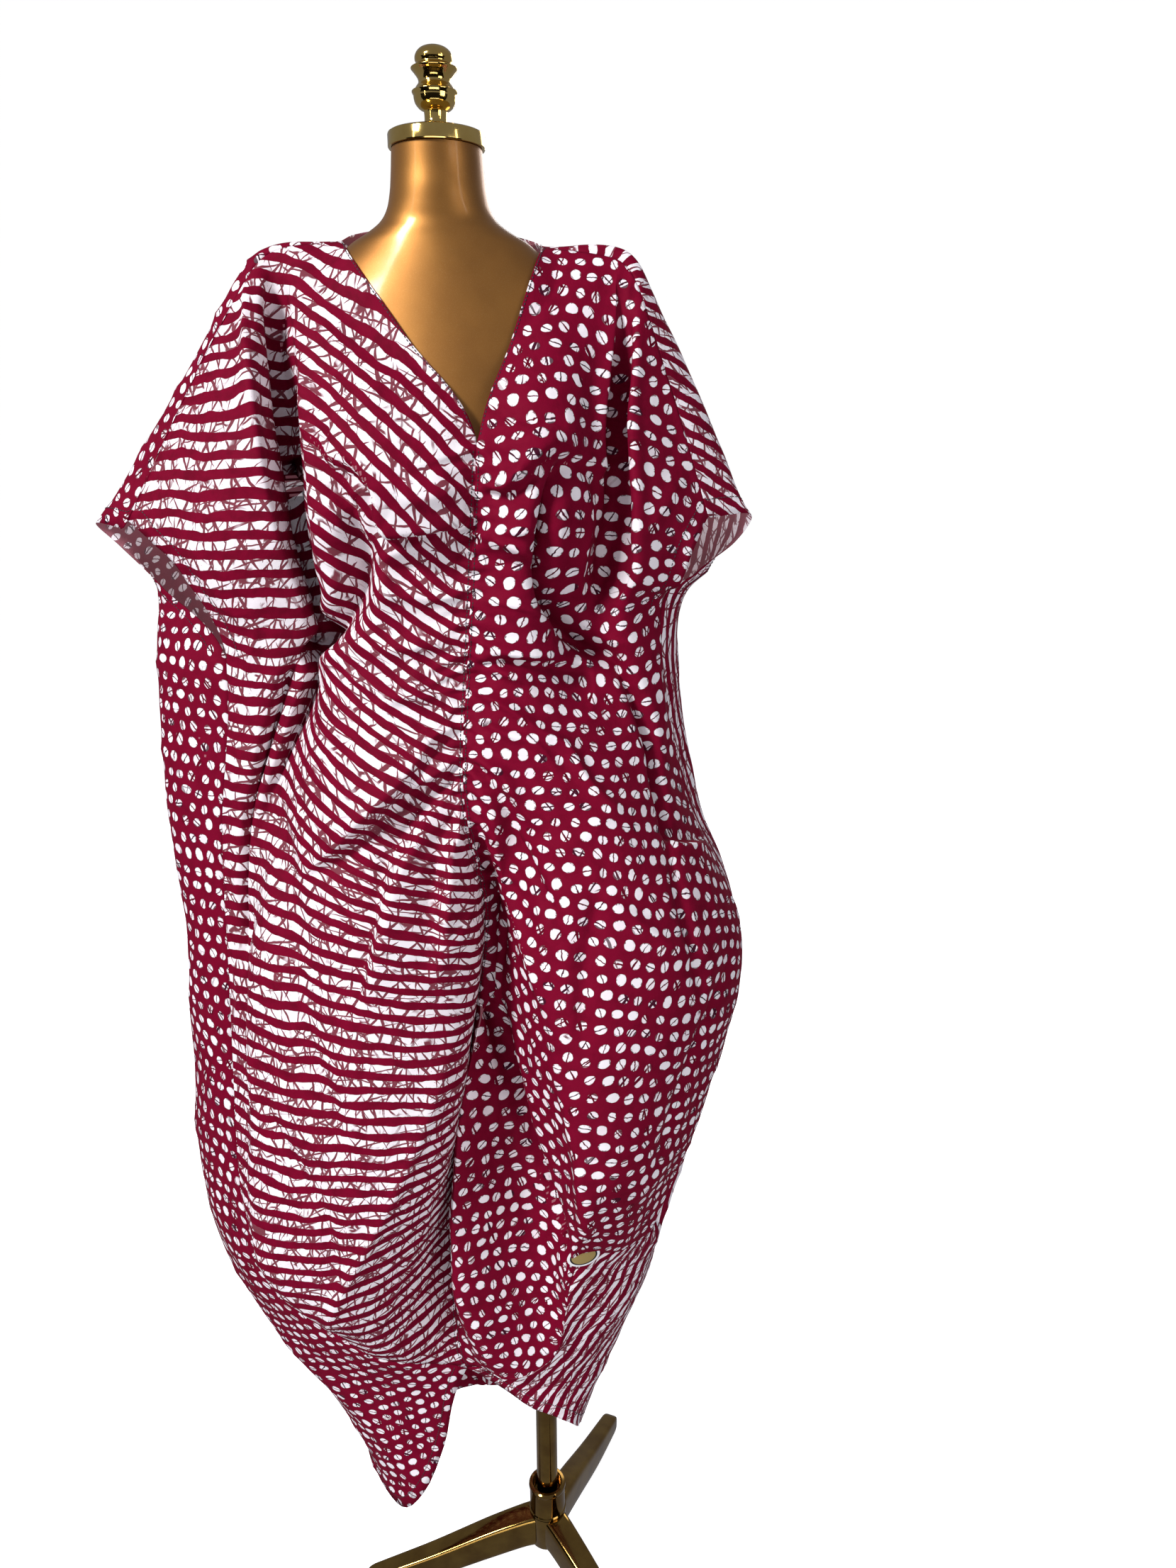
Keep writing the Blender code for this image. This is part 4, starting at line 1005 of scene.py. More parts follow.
LEFT_FOLDS = (
    ("flap valley", -24, 0, 13, 0.2, (0.3, 5.4), (0.62, 5.33), (0.96, 5.25), (1.3, 5.38), (1.67, 5.5),
     (2.6, 5.6)),
    ("valley inner edge", 10, 0, 9, 0.5, (0.1, 4.9), (0.42, 4.46), (0.8, 4.12), (1.17, 4), (1.46, 4.2),
     (2, 4.75)),
    ("valley outer edge", 10, 0, 8, 0.6, (0.2, 5.8), (0.46, 5.83), (0.79, 5.79), (1.08, 5.92), (1.5, 6),
     (2.2, 6)),
    ("under bust", 0, -14, 22, 0, (2.21, 0.2), (2.17, 1.08), (1.96, 1.79), (1.79, 2.25), (1.67, 2.83),
     (1.54, 4.3)),
    ("bust shadow", -38, 0, 12, 0.3, (1.68, 3.3), (1.9, 2.95), (2.17, 2.65), (2.42, 2.62), (2.67, 2.9),
     (2.83, 3.8)),
    ("waist shadow", -30, 0, 12, 0.3, (2.7, 3), (2.83, 3.8), (2.95, 4.4), (3.1, 5.2), (3.25, 5.7)),
    ("bust crease one", -8, 0, 7, 0.6, (1.72, 0.2), (1.66, 1.1), (1.55, 2), (1.48, 2.7)),
    ("bust crease two", 7, 0, 7, 0.6, (1.95, 0.2), (1.9, 0.9), (1.78, 1.6), (1.62, 2.3)),
    ("cone ridge", 12, 0, 14, 0.3, (1.7, 3.6), (1.92, 4), (2.38, 4), (2.67, 4.6)),
    ("cone crease", -9, 0, 8, 0.5, (1.75, 4.6), (2.1, 4.7), (2.45, 4.9)),
    ("level crease", 0, -12, 18, 0, (3.2, 0.15), (3.13, 1.25), (3.12, 3.1), (3.17, 4.8)),
    ("waist gather one", 8, 0, 8, 0.5, (2.45, 0.1), (2.42, 0.9), (2.36, 1.7), (2.3, 2.2)),
    ("waist gather two", -7, 0, 7, 0.5, (2.62, 0.1), (2.6, 0.9), (2.57, 1.7), (2.58, 2.4)),
    ("waist gather three", 8, 0, 8, 0.5, (2.82, 0.1), (2.8, 1), (2.8, 2), (2.86, 3)),
    ("ray one", 9, 0, 9, 0.5, (3.33, 0.2), (3.42, 1.3), (3.54, 2.4), (3.62, 3.25), (3.79, 3.62), (3.92, 4.1)),
    ("ray two", 8, 0, 8, 0.5, (3.5, 0.2), (3.58, 1.33), (3.62, 2.3), (3.75, 3)),
    ("ray three", 9, 0, 9, 0.5, (3.71, 0.2), (3.83, 1.3), (4, 2.04), (4.1, 2.6)),
    ("ray hollow", -9, 0, 9, 0.4, (3.75, 0.2), (3.95, 1.25), (4.2, 1.9), (4.4, 2.6), (4.7, 3.4)),
    ("ray four", 11, 0, 12, 0.4, (3.83, 0.2), (4.04, 1.04), (4.38, 1.33), (4.67, 2.25), (4.92, 2.75),
     (5.2, 3)),
    ("deep fold", -34, 0, 9, 0.3, (4.2, 0.15), (4.54, 0.4), (4.92, 0.75), (5.25, 1.2), (5.6, 1.9), (6, 2.15)),
    ("deep fold low", -34, 0, 9, 0.3, (5.8, 2.1), (6.2, 2.2), (6.6, 2.35), (7, 2.5), (7.5, 2.6)),
    ("lobe edge", 14, 0, 12, 0.4, (5.5, 2.9), (6, 2.9), (6.5, 2.95), (7, 3.05), (7.5, 3.2)),
    ("side crease", -24, 0, 9, 0.4, (3.21, 5.6), (3.38, 5.85), (3.62, 5.9), (3.8, 5.65), (4, 5.45),
     (4.17, 5.2)),
    ("side bulge", 0, 9, 22, 0, (4.12, 5.17), (4.21, 5.6), (4.29, 6.6)),
    ("hip ray", 8, 0, 10, 0.3, (4.25, 3.55), (4.42, 3.7), (4.54, 4), (4.75, 4.5), (4.9, 5.2)),
    ("hip crease", -9, 0, 9, 0.4, (4.2, 5.1), (4.46, 4.9), (4.8, 4.8), (5.1, 4.9)),
    ("puff crease", -8, 0, 12, 0.3, (4.25, 3.7), (4.54, 3.54), (4.9, 3.4), (5.3, 3.3)),
    ("puff dent", -7, 0, 14, 0.3, (5, 5.6), (5.3, 5), (5.8, 4.6), (6.3, 4.4)),
)


def read_at(grid, rows, columns):
    """Values of a grid at fractional rows and columns, straight between its points."""
    low = np.clip(rows.astype(int), 0, grid.shape[0] - 2)
    left = np.clip(columns.astype(int), 0, grid.shape[1] - 2)
    down, along = (rows - low)[:, None], (columns - left)[:, None]
    above = grid[low, left] * (1 - along) + grid[low, left + 1] * along
    below = grid[low + 1, left] * (1 - along) + grid[low + 1, left + 1] * along
    return above * (1 - down) + below * down


def drawn_folds(cloth, down, across, folds):
    """How far the drawn folds push the cloth out, in millimetres.

    Each is a bank or a step along a smooth path over the flat cloth, and fades at the path's ends.
    """
    flat = cloth / MM
    push = np.zeros(flat.shape[:2])
    for _, ridge, step, width, sharp, *path in folds:
        row, column = through(path, np.linspace(0, len(path) - 1, 48)).T
        rows = np.interp(row, down, np.arange(len(down)))
        line = read_at(flat, rows, np.interp(column, across, np.arange(len(across))))
        gap = np.full(push.shape, 1e9)
        which = np.zeros(push.shape, int)
        for k, point in enumerate(line):
            far = (flat[..., 0] - point[0]) ** 2 + (flat[..., 1] - point[1]) ** 2
            closer = far < gap
            gap[closer] = far[closer]
            which[closer] = k
        heading = np.gradient(line, axis=0)
        spacing = np.maximum(np.linalg.norm(heading, axis=1, keepdims=True), 1e-6)
        heading /= spacing
        off = flat - line[which]
        side = heading[which, 0] * off[..., 1] - heading[which, 1] * off[..., 0]
        ahead = heading[which, 0] * off[..., 0] + heading[which, 1] * off[..., 1]
        gap = np.hypot(side, np.maximum(np.abs(ahead) - spacing[which, 0], 0))
        reached = which + np.clip(ahead / spacing[which, 0], -0.5, 0.5)
        fade = np.sin(np.pi * (reached + 1) / (len(line) + 1)) ** 0.5
        bank = np.exp(-((gap / width) ** 2)) * (1 - sharp)
        bank += np.exp(-(np.sqrt(gap**2 + 2.0) - 1.4) / (0.6 * width)) * sharp
        push += fade * (ridge * bank + step * np.tanh(side / 3.0) * np.exp(-gap / width))
    return push


def crumples(cloth, seed):
    """Small seeded dents and soft creases all over a panel, in millimetres."""
    u, v = cloth[..., 0] / MM, cloth[..., 1] / MM
    bent = 22 * lattice_noise(u, v, 95, seed)
    broad = lattice_noise(u + bent, v - bent, 85, seed + 1)
    crease = 1 - np.abs(lattice_noise(u - bent, v * 0.6 + bent, 60, seed + 2)) * 2
    small = lattice_noise(u + bent, v + bent, 26, seed + 3)
    return 2.4 * broad + 2.2 * np.clip(crease, 0, 1) ** 3 + 0.5 * small


# Soft folds that hang down a back panel. Each row: way from the centre seam, way down to its start, slant,
# height
BACK_FOLDS = (
    (48, 330, 0.02, 7),
    (112, 240, -0.03, 9),
    (178, 380, 0.03, 8),
    (246, 300, -0.02, 10),
    (318, 420, 0.04, 8),
)


def hanging_folds(cloth, seed):
    """How far the soft folds down a back panel stand out, in millimetres."""
    u, v = cloth[..., 0] / MM, cloth[..., 1] / MM
    push = np.zeros(u.shape)
    for number, (place, start, slant, height) in enumerate(BACK_FOLDS):
        wander = 12 * lattice_noise(v, 40.0 * number + 0 * v, 210, seed)
        spread = 17 + 0.012 * np.maximum(v - start, 0)
        ridge = np.exp(-(((u - place - slant * v - wander) / spread) ** 2))
        push += height * ridge * smooth_step(v, start, start + 320)
    return push


def edge_fade(grid, sides):
    """0 on the named edges of a grid and 1 a little way in from them."""
    fade = np.ones(grid.shape[:2])
    down, across = walked(grid, 0), walked(grid, 1)
    far = {"top": down, "bottom": down[-1:] - down, "centre": across, "side": across[:, -1:] - across}
    for side in sides:
        fade *= smooth_step(far[side], 0, EDGE_REACH)
    return fade


striped_level = striped_batik("striped_batik_level", 0, STRIPE_PITCH)
striped_slant = striped_batik("striped_batik_slant", SLANT_TILT, SLANT_PITCH)
dotted = dotted_batik("dotted_batik_cloth")
# The paler wrong sides of the cloths, each with a painted glow for light shining through
wrong_side = {
    striped_level: striped_batik("striped_batik_level_inside", 0, STRIPE_PITCH, FADED),
    striped_slant: striped_batik("striped_batik_slant_inside", SLANT_TILT, SLANT_PITCH, FADED),
    dotted: dotted_batik("dotted_batik_inside", FADED),
}
gold = gold_paint()
brass = polished_brass("polished_brass_metal", (0.72, 0.50, 0.16), (0.62, 0.40, 0.11))
# Painted shade: a darker copy of the same polished brass for the pole, hub, collar and legs, standing in for
# their dim reflections
shaded_brass = polished_brass("old_brass_metal", (0.30, 0.18, 0.045), (0.20, 0.11, 0.03))
thread = black_thread()

front_right, front_left = front_layout(FRONT_RIGHT), front_layout(FRONT_LEFT)
back_right, back_left = back_layout(BACK_RIGHT, front_right), back_layout(BACK_LEFT, front_left)
front_right, front_left, back_right, back_left = evened([front_right, front_left, back_right, back_left])

FINISHES = {
    "front_right": (striped_level, "striped_batik"),
    "front_left": (dotted, "dotted_batik"),
    "back_right": (dotted, "dotted_batik"),
    "back_left": (striped_slant, "striped_batik"),
}
panels = {}


def panel_piece(name, grid, cloth):
    """Keeps a panel's fine grid and cloth coordinates, and makes the piece that replaces its solid."""
    panels[name] = grid, cloth
    piece = sheet_mesh(name + "_cloth", grid, outward(grid, name.startswith("front")), cloth, *FINISHES[name])
    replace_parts(piece, name + "_panel")


# Each row: name, even grid, folds, drop of the print, freedom of u and v in the two easings, seeds of the
# crumples and of the gathers
for name, even, folds, drop, freedom, fine_freedom, seed, gather_seed in (
    ("front_right", front_right, RIGHT_FOLDS, RIGHT_DROP, (1.0, 0.012), (1.0, 0.1), 31, 13),
    ("front_left", front_left, LEFT_FOLDS, LEFT_DROP, (1.0, 1.0), (1.0, 1.0), 47, 12),
):
    grid, down, across = fine_fronts(even)
    cloth = eased(front_print(even, drop), even, 500, freedom)
    cloth = finer(cloth, down * ROW_POINTS, across * COLUMN_POINTS)
    pleats = seam_pleats(grid, down, gather_seed)
    push = drawn_folds(cloth, down, across, folds) + crumples(cloth, seed)
    push *= edge_fade(grid, ("top", "bottom", "side", "centre"))
    grid = grid + outward(grid, True) * push[..., None]
    grid[..., 1] -= pleats
    grid = clear_of_form(grid, True)
    panel_piece(name, grid, eased(cloth, grid, 90, fine_freedom))

# Each row: name, even grid, seeds of the crumples and of the hanging folds
for name, even, seed, fold_seed in (("back_right", back_right, 61, 67), ("back_left", back_left, 83, 89)):
    grid, cloth = fine_back(even), fine_back(eased(back_print(even), even, 500))
    push = crumples(cloth, seed) + hanging_folds(cloth, fold_seed)
    push *= edge_fade(grid, ("top", "side", "centre"))
    grid = clear_of_form(grid + outward(grid, False) * push[..., None], False)
    panel_piece(name, grid, cloth)


def ring_faces(number):
    """Rows of four corners between neighbouring closed rings, from the numbers of the rings' points."""
    after = np.roll(number, -1, axis=-1)
    corners = [number[..., :-1, :], after[..., :-1, :], after[..., 1:, :], number[..., 1:, :]]
    return np.stack(corners, axis=-1).reshape(-1, 4)


def ring_piece(name, rings, finish, sharp=None):
    """A closed piece through equal rings of points, each end closed by a ring shrunk to its middle."""
    rings = np.asarray(rings, float)
    first = rings[:1].mean(axis=1, keepdims=True) + 0 * rings[:1]
    last = rings[-1:].mean(axis=1, keepdims=True) + 0 * rings[-1:]
    rings = np.concatenate([first, rings, last])
    faces = ring_faces(np.arange(rings.shape[0] * rings.shape[1]).reshape(rings.shape[:2]))
    points = rings.reshape(-1, 3)
    corner = points[faces]
    volume = np.einsum("ij,ij->i", corner[:, 0], np.cross(corner[:, 1], corner[:, 2]))
    volume += np.einsum("ij,ij->i", corner[:, 0], np.cross(corner[:, 2], corner[:, 3]))
    if volume.sum() < 0:
        faces = faces[:, ::-1]
    return quad_piece(name, points, faces, finish, sharp)


def circle(count):
    """Angles of points evenly spread round a circle."""
    return np.linspace(0, 2 * math.pi, count, endpoint=False)


def signed_power(value, power):
    """A power of the size of a value, with the value's sign."""
    return np.sign(value) * np.abs(value) ** power


def form_rings():
    """Rounded sections of the neck, shoulders, waist and hips."""
    steps = np.linspace(0, len(FORM_SECTIONS) - 1, 200)
    height, half, fore, aft, square = through(FORM_SECTIONS, steps).T[:, :, None]
    angle = circle(128)[None]
    x = signed_power(np.cos(angle), 2 / square) * half
    deep = signed_power(np.sin(angle), 2 / square)
    y = np.where(deep < 0, deep * fore, deep * aft)
    return np.stack([x, y, height + 0 * angle], axis=-1)


form = ring_piece("gold_form", form_rings(), gold, 50)
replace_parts(form, "dress_form")


def inset(grid, edge, distance):
    """The line that runs at a distance from one edge of a grid, along its surface."""
    if edge in ("top", "bottom"):
        grid = np.swapaxes(grid, 0, 1)
    if edge in ("side", "bottom"):
        grid = grid[:, ::-1]
    near = grid[:, :40]
    rows = zip(near, walked(near, 1))
    return np.array([[np.interp(distance, far, points[:, k]) for k in range(3)] for points, far in rows])


# Stitches, and the rings of one stitch. Each row: place along it from -1 to 1, radius, lift
STITCH_PITCH = 4.4
STITCH_LENGTH = 3.0
STITCH_RADIUS = 0.55
STITCH_RINGS = (
    (-1, 0, -0.5),
    (-0.98, 0.45, -0.35),
    (-0.72, 1, 0.1),
    (0.72, 1, 0.1),
    (0.98, 0.45, -0.35),
    (1, 0, -0.5),
)


def stitches(name, line, normals):
    """A row of raised black stitches along a line on the cloth, each a pill that dips in at its ends."""
    run = run_along(line)
    middle = np.arange(STITCH_PITCH, run[-1] - STITCH_PITCH, STITCH_PITCH)

    def along_line(values, places):
        return np.stack([np.interp(places, run, values[:, k]) for k in range(3)], axis=-1)

    spots = along_line(line, middle)
    ahead = along_line(line, middle + 0.5) - spots
    ahead /= np.linalg.norm(ahead, axis=1, keepdims=True)
    up = along_line(normals, middle)
    up -= ahead * (up * ahead).sum(axis=1, keepdims=True)
    up /= np.linalg.norm(up, axis=1, keepdims=True)
    across = np.cross(ahead, up)
    along, radius, lift = np.array(STITCH_RINGS).T
    along, radius, lift = along * STITCH_LENGTH / 2, radius * STITCH_RADIUS, lift * STITCH_RADIUS
    turn = circle(6)
    axis = spots[:, None] + ahead[:, None] * along[None, :, None] + up[:, None] * lift[None, :, None]
    round_up = up[:, None, None] * np.sin(turn)[None, None, :, None]
    round_across = across[:, None, None] * np.cos(turn)[None, None, :, None]
    points = axis[:, :, None] + (round_up + round_across) * radius[None, :, None, None]
    number = np.arange(len(spots) * len(along) * len(turn)).reshape(len(spots), len(along), len(turn))
    return quad_piece(name, points.reshape(-1, 3), ring_faces(number), thread)


extras = {name: [] for name in panels}


def sewn_line(panel, edge, distance, rows):
    """Stitches at a distance from an edge of a panel, over some of its rows or columns."""
    grid = panels[panel][0]
    normal = outward(grid, panel.startswith("front"))
    line = inset(grid, edge, distance)[rows]
    up = inset(normal, edge, 0.0)[rows]
    number = len(extras[panel])
    extras[panel].append(stitches(f"{panel}_stitches_{number}", line + up * 0.1, up))


def folded_hem(panel, rows, columns):
    """The hem's narrow fold on the inside of a panel: a strip of the same cloth, just under the wall."""
    grid, cloth = (part[rows, columns] for part in panels[panel])
    normal = outward(panels[panel][0], panel.startswith("front"))[rows, columns]
    name = f"{panel}_hem_{len(extras[panel])}"
    inner = grid - normal * (WALL + HEM_GAP)
    extras[panel].append(sheet_mesh(name, inner, normal, cloth, *FINISHES[panel], False))


for panel in ("front_right", "front_left"):
    sewn_line(panel, "centre", 3.0, slice(V_POINTS + 1, None))
    sewn_line(panel, "centre", 2.0, slice(V_POINTS))
    sewn_line(panel, "side", 20.0, slice(SLEEVE_POINTS))
    folded_hem(panel, slice(SLEEVE_POINTS), slice(-7, None))
for panel in ("back_right", "back_left"):
    sewn_line(panel, "bottom", 16.0, slice(None))
    sewn_line(panel, "side", 20.0, slice(BACK_SLEEVE_POINTS))
    sewn_line(panel, "top", 2.0, slice(BACK_NECK_POINTS))
    folded_hem(panel, slice(-9, None), slice(None))

# The label: its place across and up, half its width and half its height
LABEL_X = 146.0
LABEL_Z = 681.0
LABEL_WIDE = 21.0
LABEL_HIGH = 14.0


def bare_label():
    """A small unmarked oval label that hangs from the lower seam: white rim, black ring, dull gold middle."""
    grid = panels["back_left"][0]
    normal = outward(grid, False)
    behind = 200.0 * (grid[..., 1] > 0)
    spot = np.abs(grid[..., 0] - LABEL_X) + np.abs(grid[..., 2] - LABEL_Z) + behind
    row, column = np.unravel_index(spot.argmin(), spot.shape)
    out, middle = normal[row, column] * (1, 1, 0), grid[row, column]
    out /= np.linalg.norm(out)
    right = np.cross((0.0, 0.0, 1.0), -out)
    right /= np.linalg.norm(right)
    up = np.cross(-out, right)
    up *= np.sign(up[2])
    turn = circle(72)[:, None]
    oval = right * np.cos(turn) * LABEL_WIDE + up * np.sin(turn) * LABEL_HIGH
    outline = ((1.0, 0.98), (1.0, 1.0), (2.0, 1.0), (2.1, 0.985))
    rings = [middle + out * lift + oval * share for lift, share in outline]
    piece = ring_piece("bare_label", rings, label_cloth(middle + out * 2, right, up))
    extras["back_left"].append(piece)


def label_cloth(middle, right, up):
    """Woven label cloth, coloured by the distance from its middle."""
    cloth = Finish("label_weave", Specular_IOR_Level=0.2)
    place = cloth.place()
    centre = tuple(float(n) for n in (middle + FORM_AXIS) * MM)
    off = cloth.vectors("SUBTRACT", {0: place, 1: centre})
    x, y = (cloth.vectors("DOT_PRODUCT", {0: off, 1: tuple(map(float, axis))}, 1) for axis in (right, up))
    far = ((x / (LABEL_WIDE * MM)) ** 2.0 + (y / (LABEL_HIGH * MM)) ** 2.0) ** 0.5
    weave = cloth.noise(place, 1800.0, 2.0, 0.6)
    inner = cloth.mixed(weave, (0.22, 0.15, 0.05), (0.34, 0.25, 0.09))
    ring = cloth.mixed((far - 0.74).ramp(-0.01, 0.01), inner, (0.01, 0.008, 0.01))
    cloth.surface(Base_Color=cloth.mixed((far - 0.84).ramp(-0.01, 0.01), ring, (0.75, 0.73, 0.75)))
    cloth.surface(Roughness=0.55 + weave * 0.2)
    cloth.surface(Normal=cloth.bump(weave, 0.0001, 0.4))
    return cloth.material


bare_label()

# Turned brass. Each row: radius, height above the piece's foot. The collar's outline goes up outside and down
# again inside
CAP_FOOT = 1907.0
FINIAL_FOOT = CAP_FOOT + 21.7
POLE_X = 95.0
POLE_FOOT = 108.0
HUB_FOOT = 54.0
CAP_TURNING = (
    (46.5, 0), (49.2, 0.3), (49.7, 1.2), (49.7, 12.2), (49.2, 13.5), (47.2, 14.6), (38, 17), (24, 20),
    (13, 21.6),
)
FINIAL_TURNING = (
    (13.4, 0), (12.4, 1.2), (11.5, 4.5), (11.6, 10.5), (12.4, 13), (16.6, 15.4), (20.2, 19.6), (21.6, 24),
    (21.9, 26.8), (23.4, 30.2), (21.0, 31.6), (18.6, 34.8), (16.6, 37.6), (16.4, 40.2), (17.6, 43.2),
    (20.8, 47.4), (23.6, 51.0), (20.6, 52.4), (18.6, 54.2), (18.2, 55.8), (19.2, 58.4), (19, 62), (17, 65.8),
    (13.2, 69), (7.4, 71.2), (2, 72.1),
)
POLE_TURNING = ((15, 0), (15, 930))
HUB_TURNING = ((25, 0), (26.4, 0.6), (27, 2), (27, 53.6))
COLLAR_TURNING = (
    (15.3, 0.2), (26.6, 0.2), (27.1, 0.9), (27.1, 3), (25.8, 4.6), (25.6, 6), (25.6, 40), (26.6, 41.4),
    (26.9, 43.4), (26.6, 46.6), (25, 47.9), (21.5, 48.2), (20, 46.6), (19, 30), (15.3, 29),
)
# Legs. Each row: distance from the pole's axis, half width, underside height, top height
LEG_SECTIONS = (
    (20, 19, 54, 106),
    (40, 18.4, 50.5, 101.5),
    (90, 17, 36, 86),
    (170, 15, 13, 56),
    (242, 13, 1.5, 33),
    (260, 12, 0.3, 27),
    (268, 9.5, 0.6, 21),
    (272, 5, 3.5, 13),
)
# Headings of the legs in degrees, and how far their corners are rounded, from 0 for a box to 1 for an oval
LEG_ANGLES = {"leg_back": 68.0, "leg_right": 188.0, "leg_left": 308.0}
LEG_ROUNDING = 0.34


def turned(name, profile, foot, x, finish, curved=False):
    """A turned piece: a profile swept round the upright line at x, smooth where the profile is a curve."""
    profile = np.array(profile, float)
    if curved:
        profile = through(profile, np.linspace(0, len(profile) - 1, 6 * len(profile)))
    angle = circle(96)
    radius, height = profile[:, :1], profile[:, 1:]
    rings = np.stack([radius * np.cos(angle) + x, radius * np.sin(angle), height + foot + 0 * angle], axis=-1)
    piece = ring_piece(name + "_brass", rings, finish, 70 if curved else 28)
    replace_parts(piece, name)


def leg_rings(angle):
    """Sections of a leg: boxes with rounded corners that narrow and slope towards a rounded foot."""
    steps = np.linspace(0, len(LEG_SECTIONS) - 1, 50)
    distance, half, low, high = through(LEG_SECTIONS, steps).T[:, :, None]
    turn = circle(40)[None] + 0.01
    across = signed_power(np.cos(turn), LEG_ROUNDING) * half
    up = (low + high) / 2 + signed_power(np.sin(turn), LEG_ROUNDING) * (high - low) / 2
    cosine, sine = math.cos(math.radians(angle)), math.sin(math.radians(angle))
    x = POLE_X + distance * cosine - across * sine
    y = distance * sine + across * cosine
    return np.stack([x, y, up], axis=-1)


turned("neck_cap", CAP_TURNING, CAP_FOOT, 0.0, brass)
turned("finial", FINIAL_TURNING, FINIAL_FOOT, 0.0, brass, True)
turned("pole", POLE_TURNING, POLE_FOOT, POLE_X, shaded_brass)
turned("hub", HUB_TURNING, HUB_FOOT, POLE_X, shaded_brass)
turned("collar", COLLAR_TURNING, POLE_FOOT, POLE_X, shaded_brass)
for name, angle in LEG_ANGLES.items():
    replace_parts(ring_piece(name + "_brass", leg_rings(angle), shaded_brass, 40), name)


def stage_piece(name, points, faces, finish, unseen_by):
    """A piece of the surroundings, in metres, that the named kinds of rays don't see."""
    mesh = bpy.data.meshes.new(name)
    mesh.from_pydata(np.asarray(points, float).reshape(-1, 3).tolist(), [], np.asarray(faces).tolist())
    mesh.materials.append(finish.material)
    piece = bpy.data.objects.new(name, mesh)
    bpy.context.scene.collection.objects.link(piece)
    piece.visible_camera = "camera" not in unseen_by
    piece.visible_diffuse = "diffuse" not in unseen_by
    piece.visible_glossy = "glossy" not in unseen_by
    piece.visible_transmission = piece.visible_shadow = "shadow" not in unseen_by


def plain(name, colour, glow, strength, **fixed):
    """An even finish of one colour that glows with another."""
    finish = Finish(name, Emission_Strength=strength, **fixed)
    finish.surface(Base_Color=colour, Emission_Color=glow)
    return finish


DOME_RADIUS = 7.9
CARD_RADII = (0.9, 4.2)
CARD_HEIGHTS = (-0.05, 2.3)
CARD_POINTS = 40
WINDOW_HALF = 0.07
WINDOW_HEIGHTS = (1.5, 3.3)

# A pale floor that glows evenly
pale = plain("pale_floor", (0.88, 0.88, 0.88), (1.0, 1.0, 1.0), 0.78, Roughness=0.8, Specular_IOR_Level=0.1)
pale.surface(Base_Color=pale.mixed(pale.noise(pale.place(), 3.0), (0.86, 0.86, 0.86), (0.90, 0.90, 0.90)))
floor_corners = [(-9, -9, 0), (9, -9, 0), (9, 9, 0), (-9, 9, 0)]
stage_piece("floor", floor_corners, [(0, 1, 2, 3)], pale, ("diffuse", "glossy"))

# A white room, seen by the camera only
room_finish = plain("white_room_wall", (0.0, 0.0, 0.0), (1.0, 1.0, 1.0), 1.0, Roughness=1.0)
turn, rise = circle(64), np.linspace(-0.06, math.pi / 2 - 0.01, 24)[:, None]
dome = [np.cos(rise) * np.cos(turn), np.cos(rise) * np.sin(turn), np.sin(rise) + 0 * turn]
dome_faces = ring_faces(np.arange(24 * 64).reshape(24, 64))
dome_points = DOME_RADIUS * np.stack(dome, -1)
stage_piece("white_room", dome_points, dome_faces, room_finish, ("diffuse", "glossy", "shadow"))

# The dim side of the room behind the camera, seen in the polished metal only
card_finish = Finish("dim_room", Roughness=1.0, Specular_IOR_Level=0.0)
card_finish.surface(Base_Color=(0.02, 0.018, 0.016))
turn = np.radians(np.linspace(-165, -15, CARD_POINTS))
ring = np.stack([np.cos(turn), np.sin(turn), 0 * turn], -1)
near, far = CARD_RADII
low, high = CARD_HEIGHTS
rings = [ring * near + (0, 0, low), ring * far + (0, 0, low), ring * far + (0, 0, high)]
starts = [i for i in range(2 * CARD_POINTS - 1) if i != CARD_POINTS - 1]
card_faces = [(i, i + 1, i + CARD_POINTS + 1, i + CARD_POINTS) for i in starts]
stage_piece("dim_room", rings, card_faces, card_finish, ("camera", "diffuse", "shadow"))

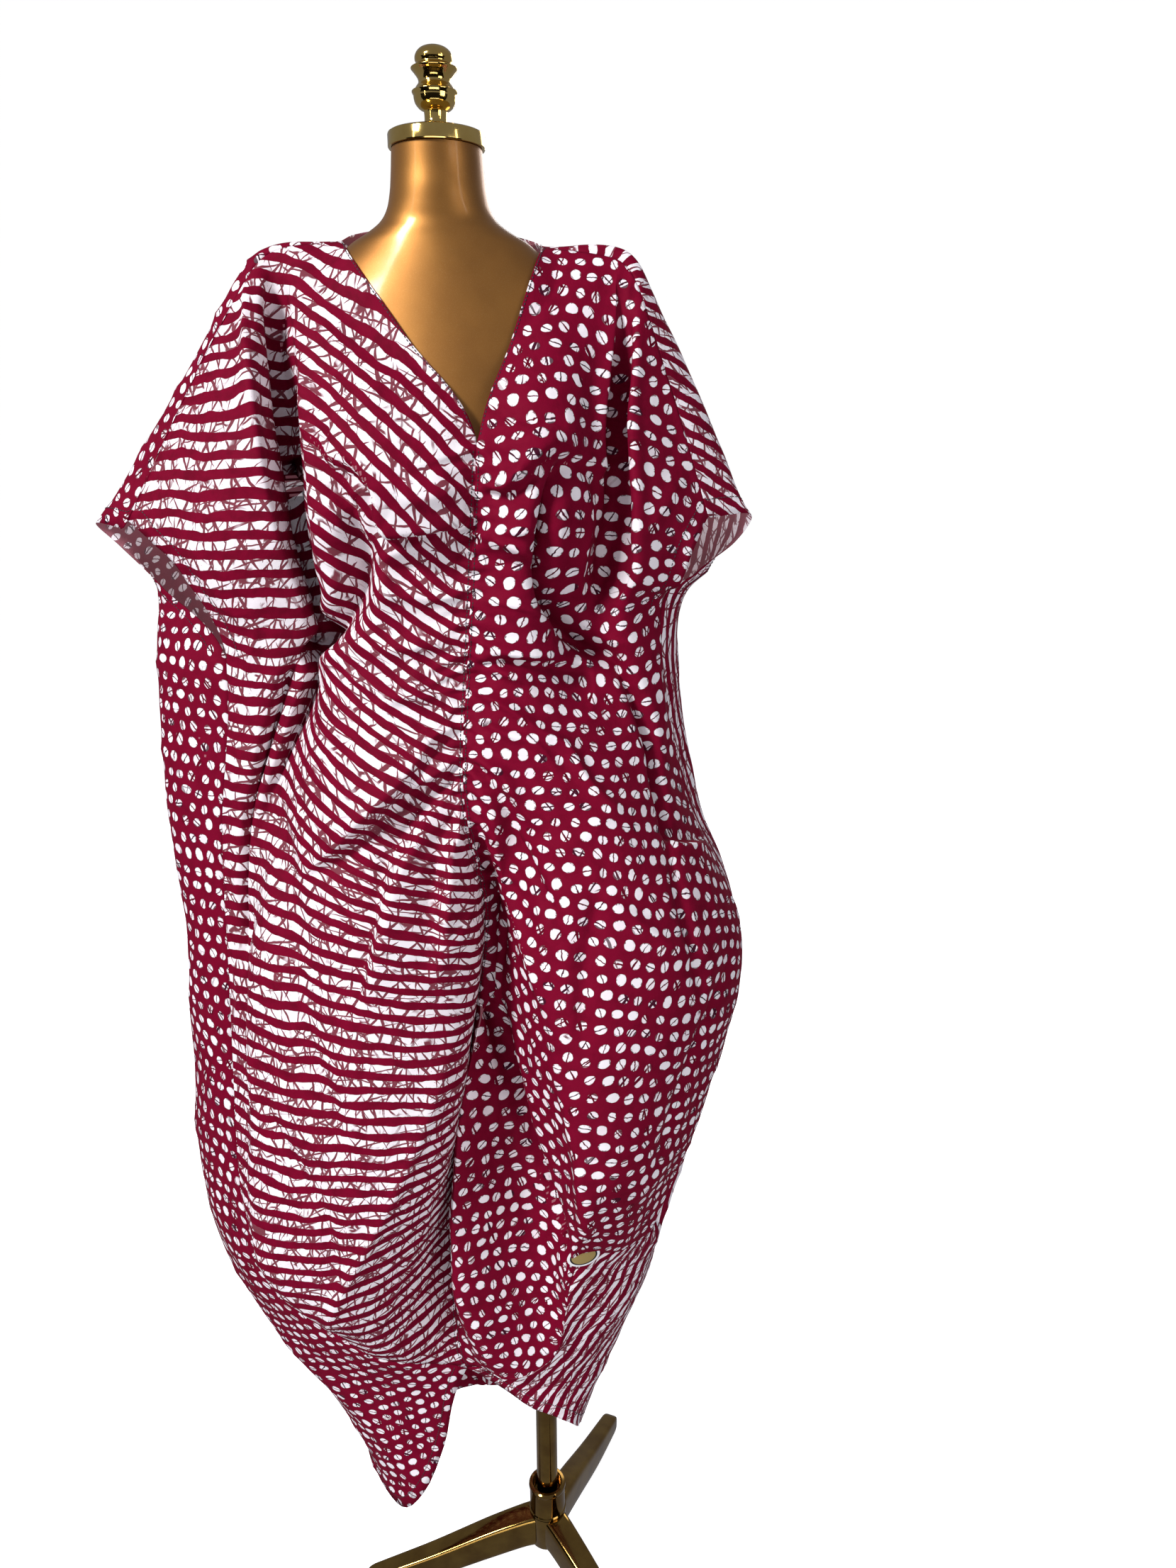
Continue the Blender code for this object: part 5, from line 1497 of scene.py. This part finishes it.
# Two narrow lit windows, seen in the paint and metal only. Each row: name, x and y in metres
window_finish = plain("lit_window", (0.0, 0.0, 0.0), (1.0, 0.95, 0.86), 9.0, Roughness=1.0)
for name, x, y in (("left_window", -2.20, -2.04), ("right_window", 2.45, -1.73)):
    aside = np.array((-y, x, 0.0)) / math.hypot(x, y) * WINDOW_HALF
    low, high = WINDOW_HEIGHTS
    corners = [np.array((x, y, z)) + aside * way for z, way in ((low, -1), (low, 1), (high, 1), (high, -1))]
    stage_piece(name, corners, [(0, 1, 2, 3)], window_finish, ("camera", "diffuse", "shadow"))

world = bpy.data.worlds.new("white_room")
bpy.context.scene.world = world
world.use_nodes = True
world.node_tree.nodes["Background"].inputs["Color"].default_value = (0.86, 0.89, 1.0, 1.0)
world.node_tree.nodes["Background"].inputs["Strength"].default_value = 0.28


def softbox(name, place, aim, width, height, power):
    """A rectangular lamp at place, turned to aim, in metres and watts."""
    lamp = bpy.data.lights.new(name, "AREA")
    lamp.shape = "RECTANGLE"
    lamp.size, lamp.size_y, lamp.energy = width, height, power
    box = bpy.data.objects.new(name, lamp)
    bpy.context.scene.collection.objects.link(box)
    x, y, z = np.array(aim) - np.array(place)
    box.location = place
    box.rotation_euler = (math.atan2(math.hypot(x, y), -z), 0, math.atan2(y, x) - math.pi / 2)


softbox("key_light", (-2.5, -2.7, 4.0), (0.0, 0.0, 1.0), 0.9, 0.9, 222)
softbox("fill_light", (2.4, -2.2, 1.9), (0.0, 0.0, 1.1), 1.4, 1.4, 24)
softbox("back_light", (1.4, 3.2, 2.7), (0.0, 0.0, 1.0), 2.2, 1.6, 42)
softbox("floor_glow", (0.1, -1.7, 0.12), (0.0, 0.0, 0.75), 1.8, 0.8, 15)

camera = bpy.data.objects.new("camera", bpy.data.cameras.new("camera"))
bpy.context.scene.collection.objects.link(camera)
camera.location = CAMERA_PLACE
camera.rotation_euler = (math.radians(CAMERA_TILT), 0, 0)
camera.data.lens = CAMERA_LENS
camera.data.sensor_width = CAMERA_SENSOR
camera.data.clip_start = 0.05
bpy.context.scene.camera = camera
bpy.context.scene.view_settings.view_transform = "Standard"
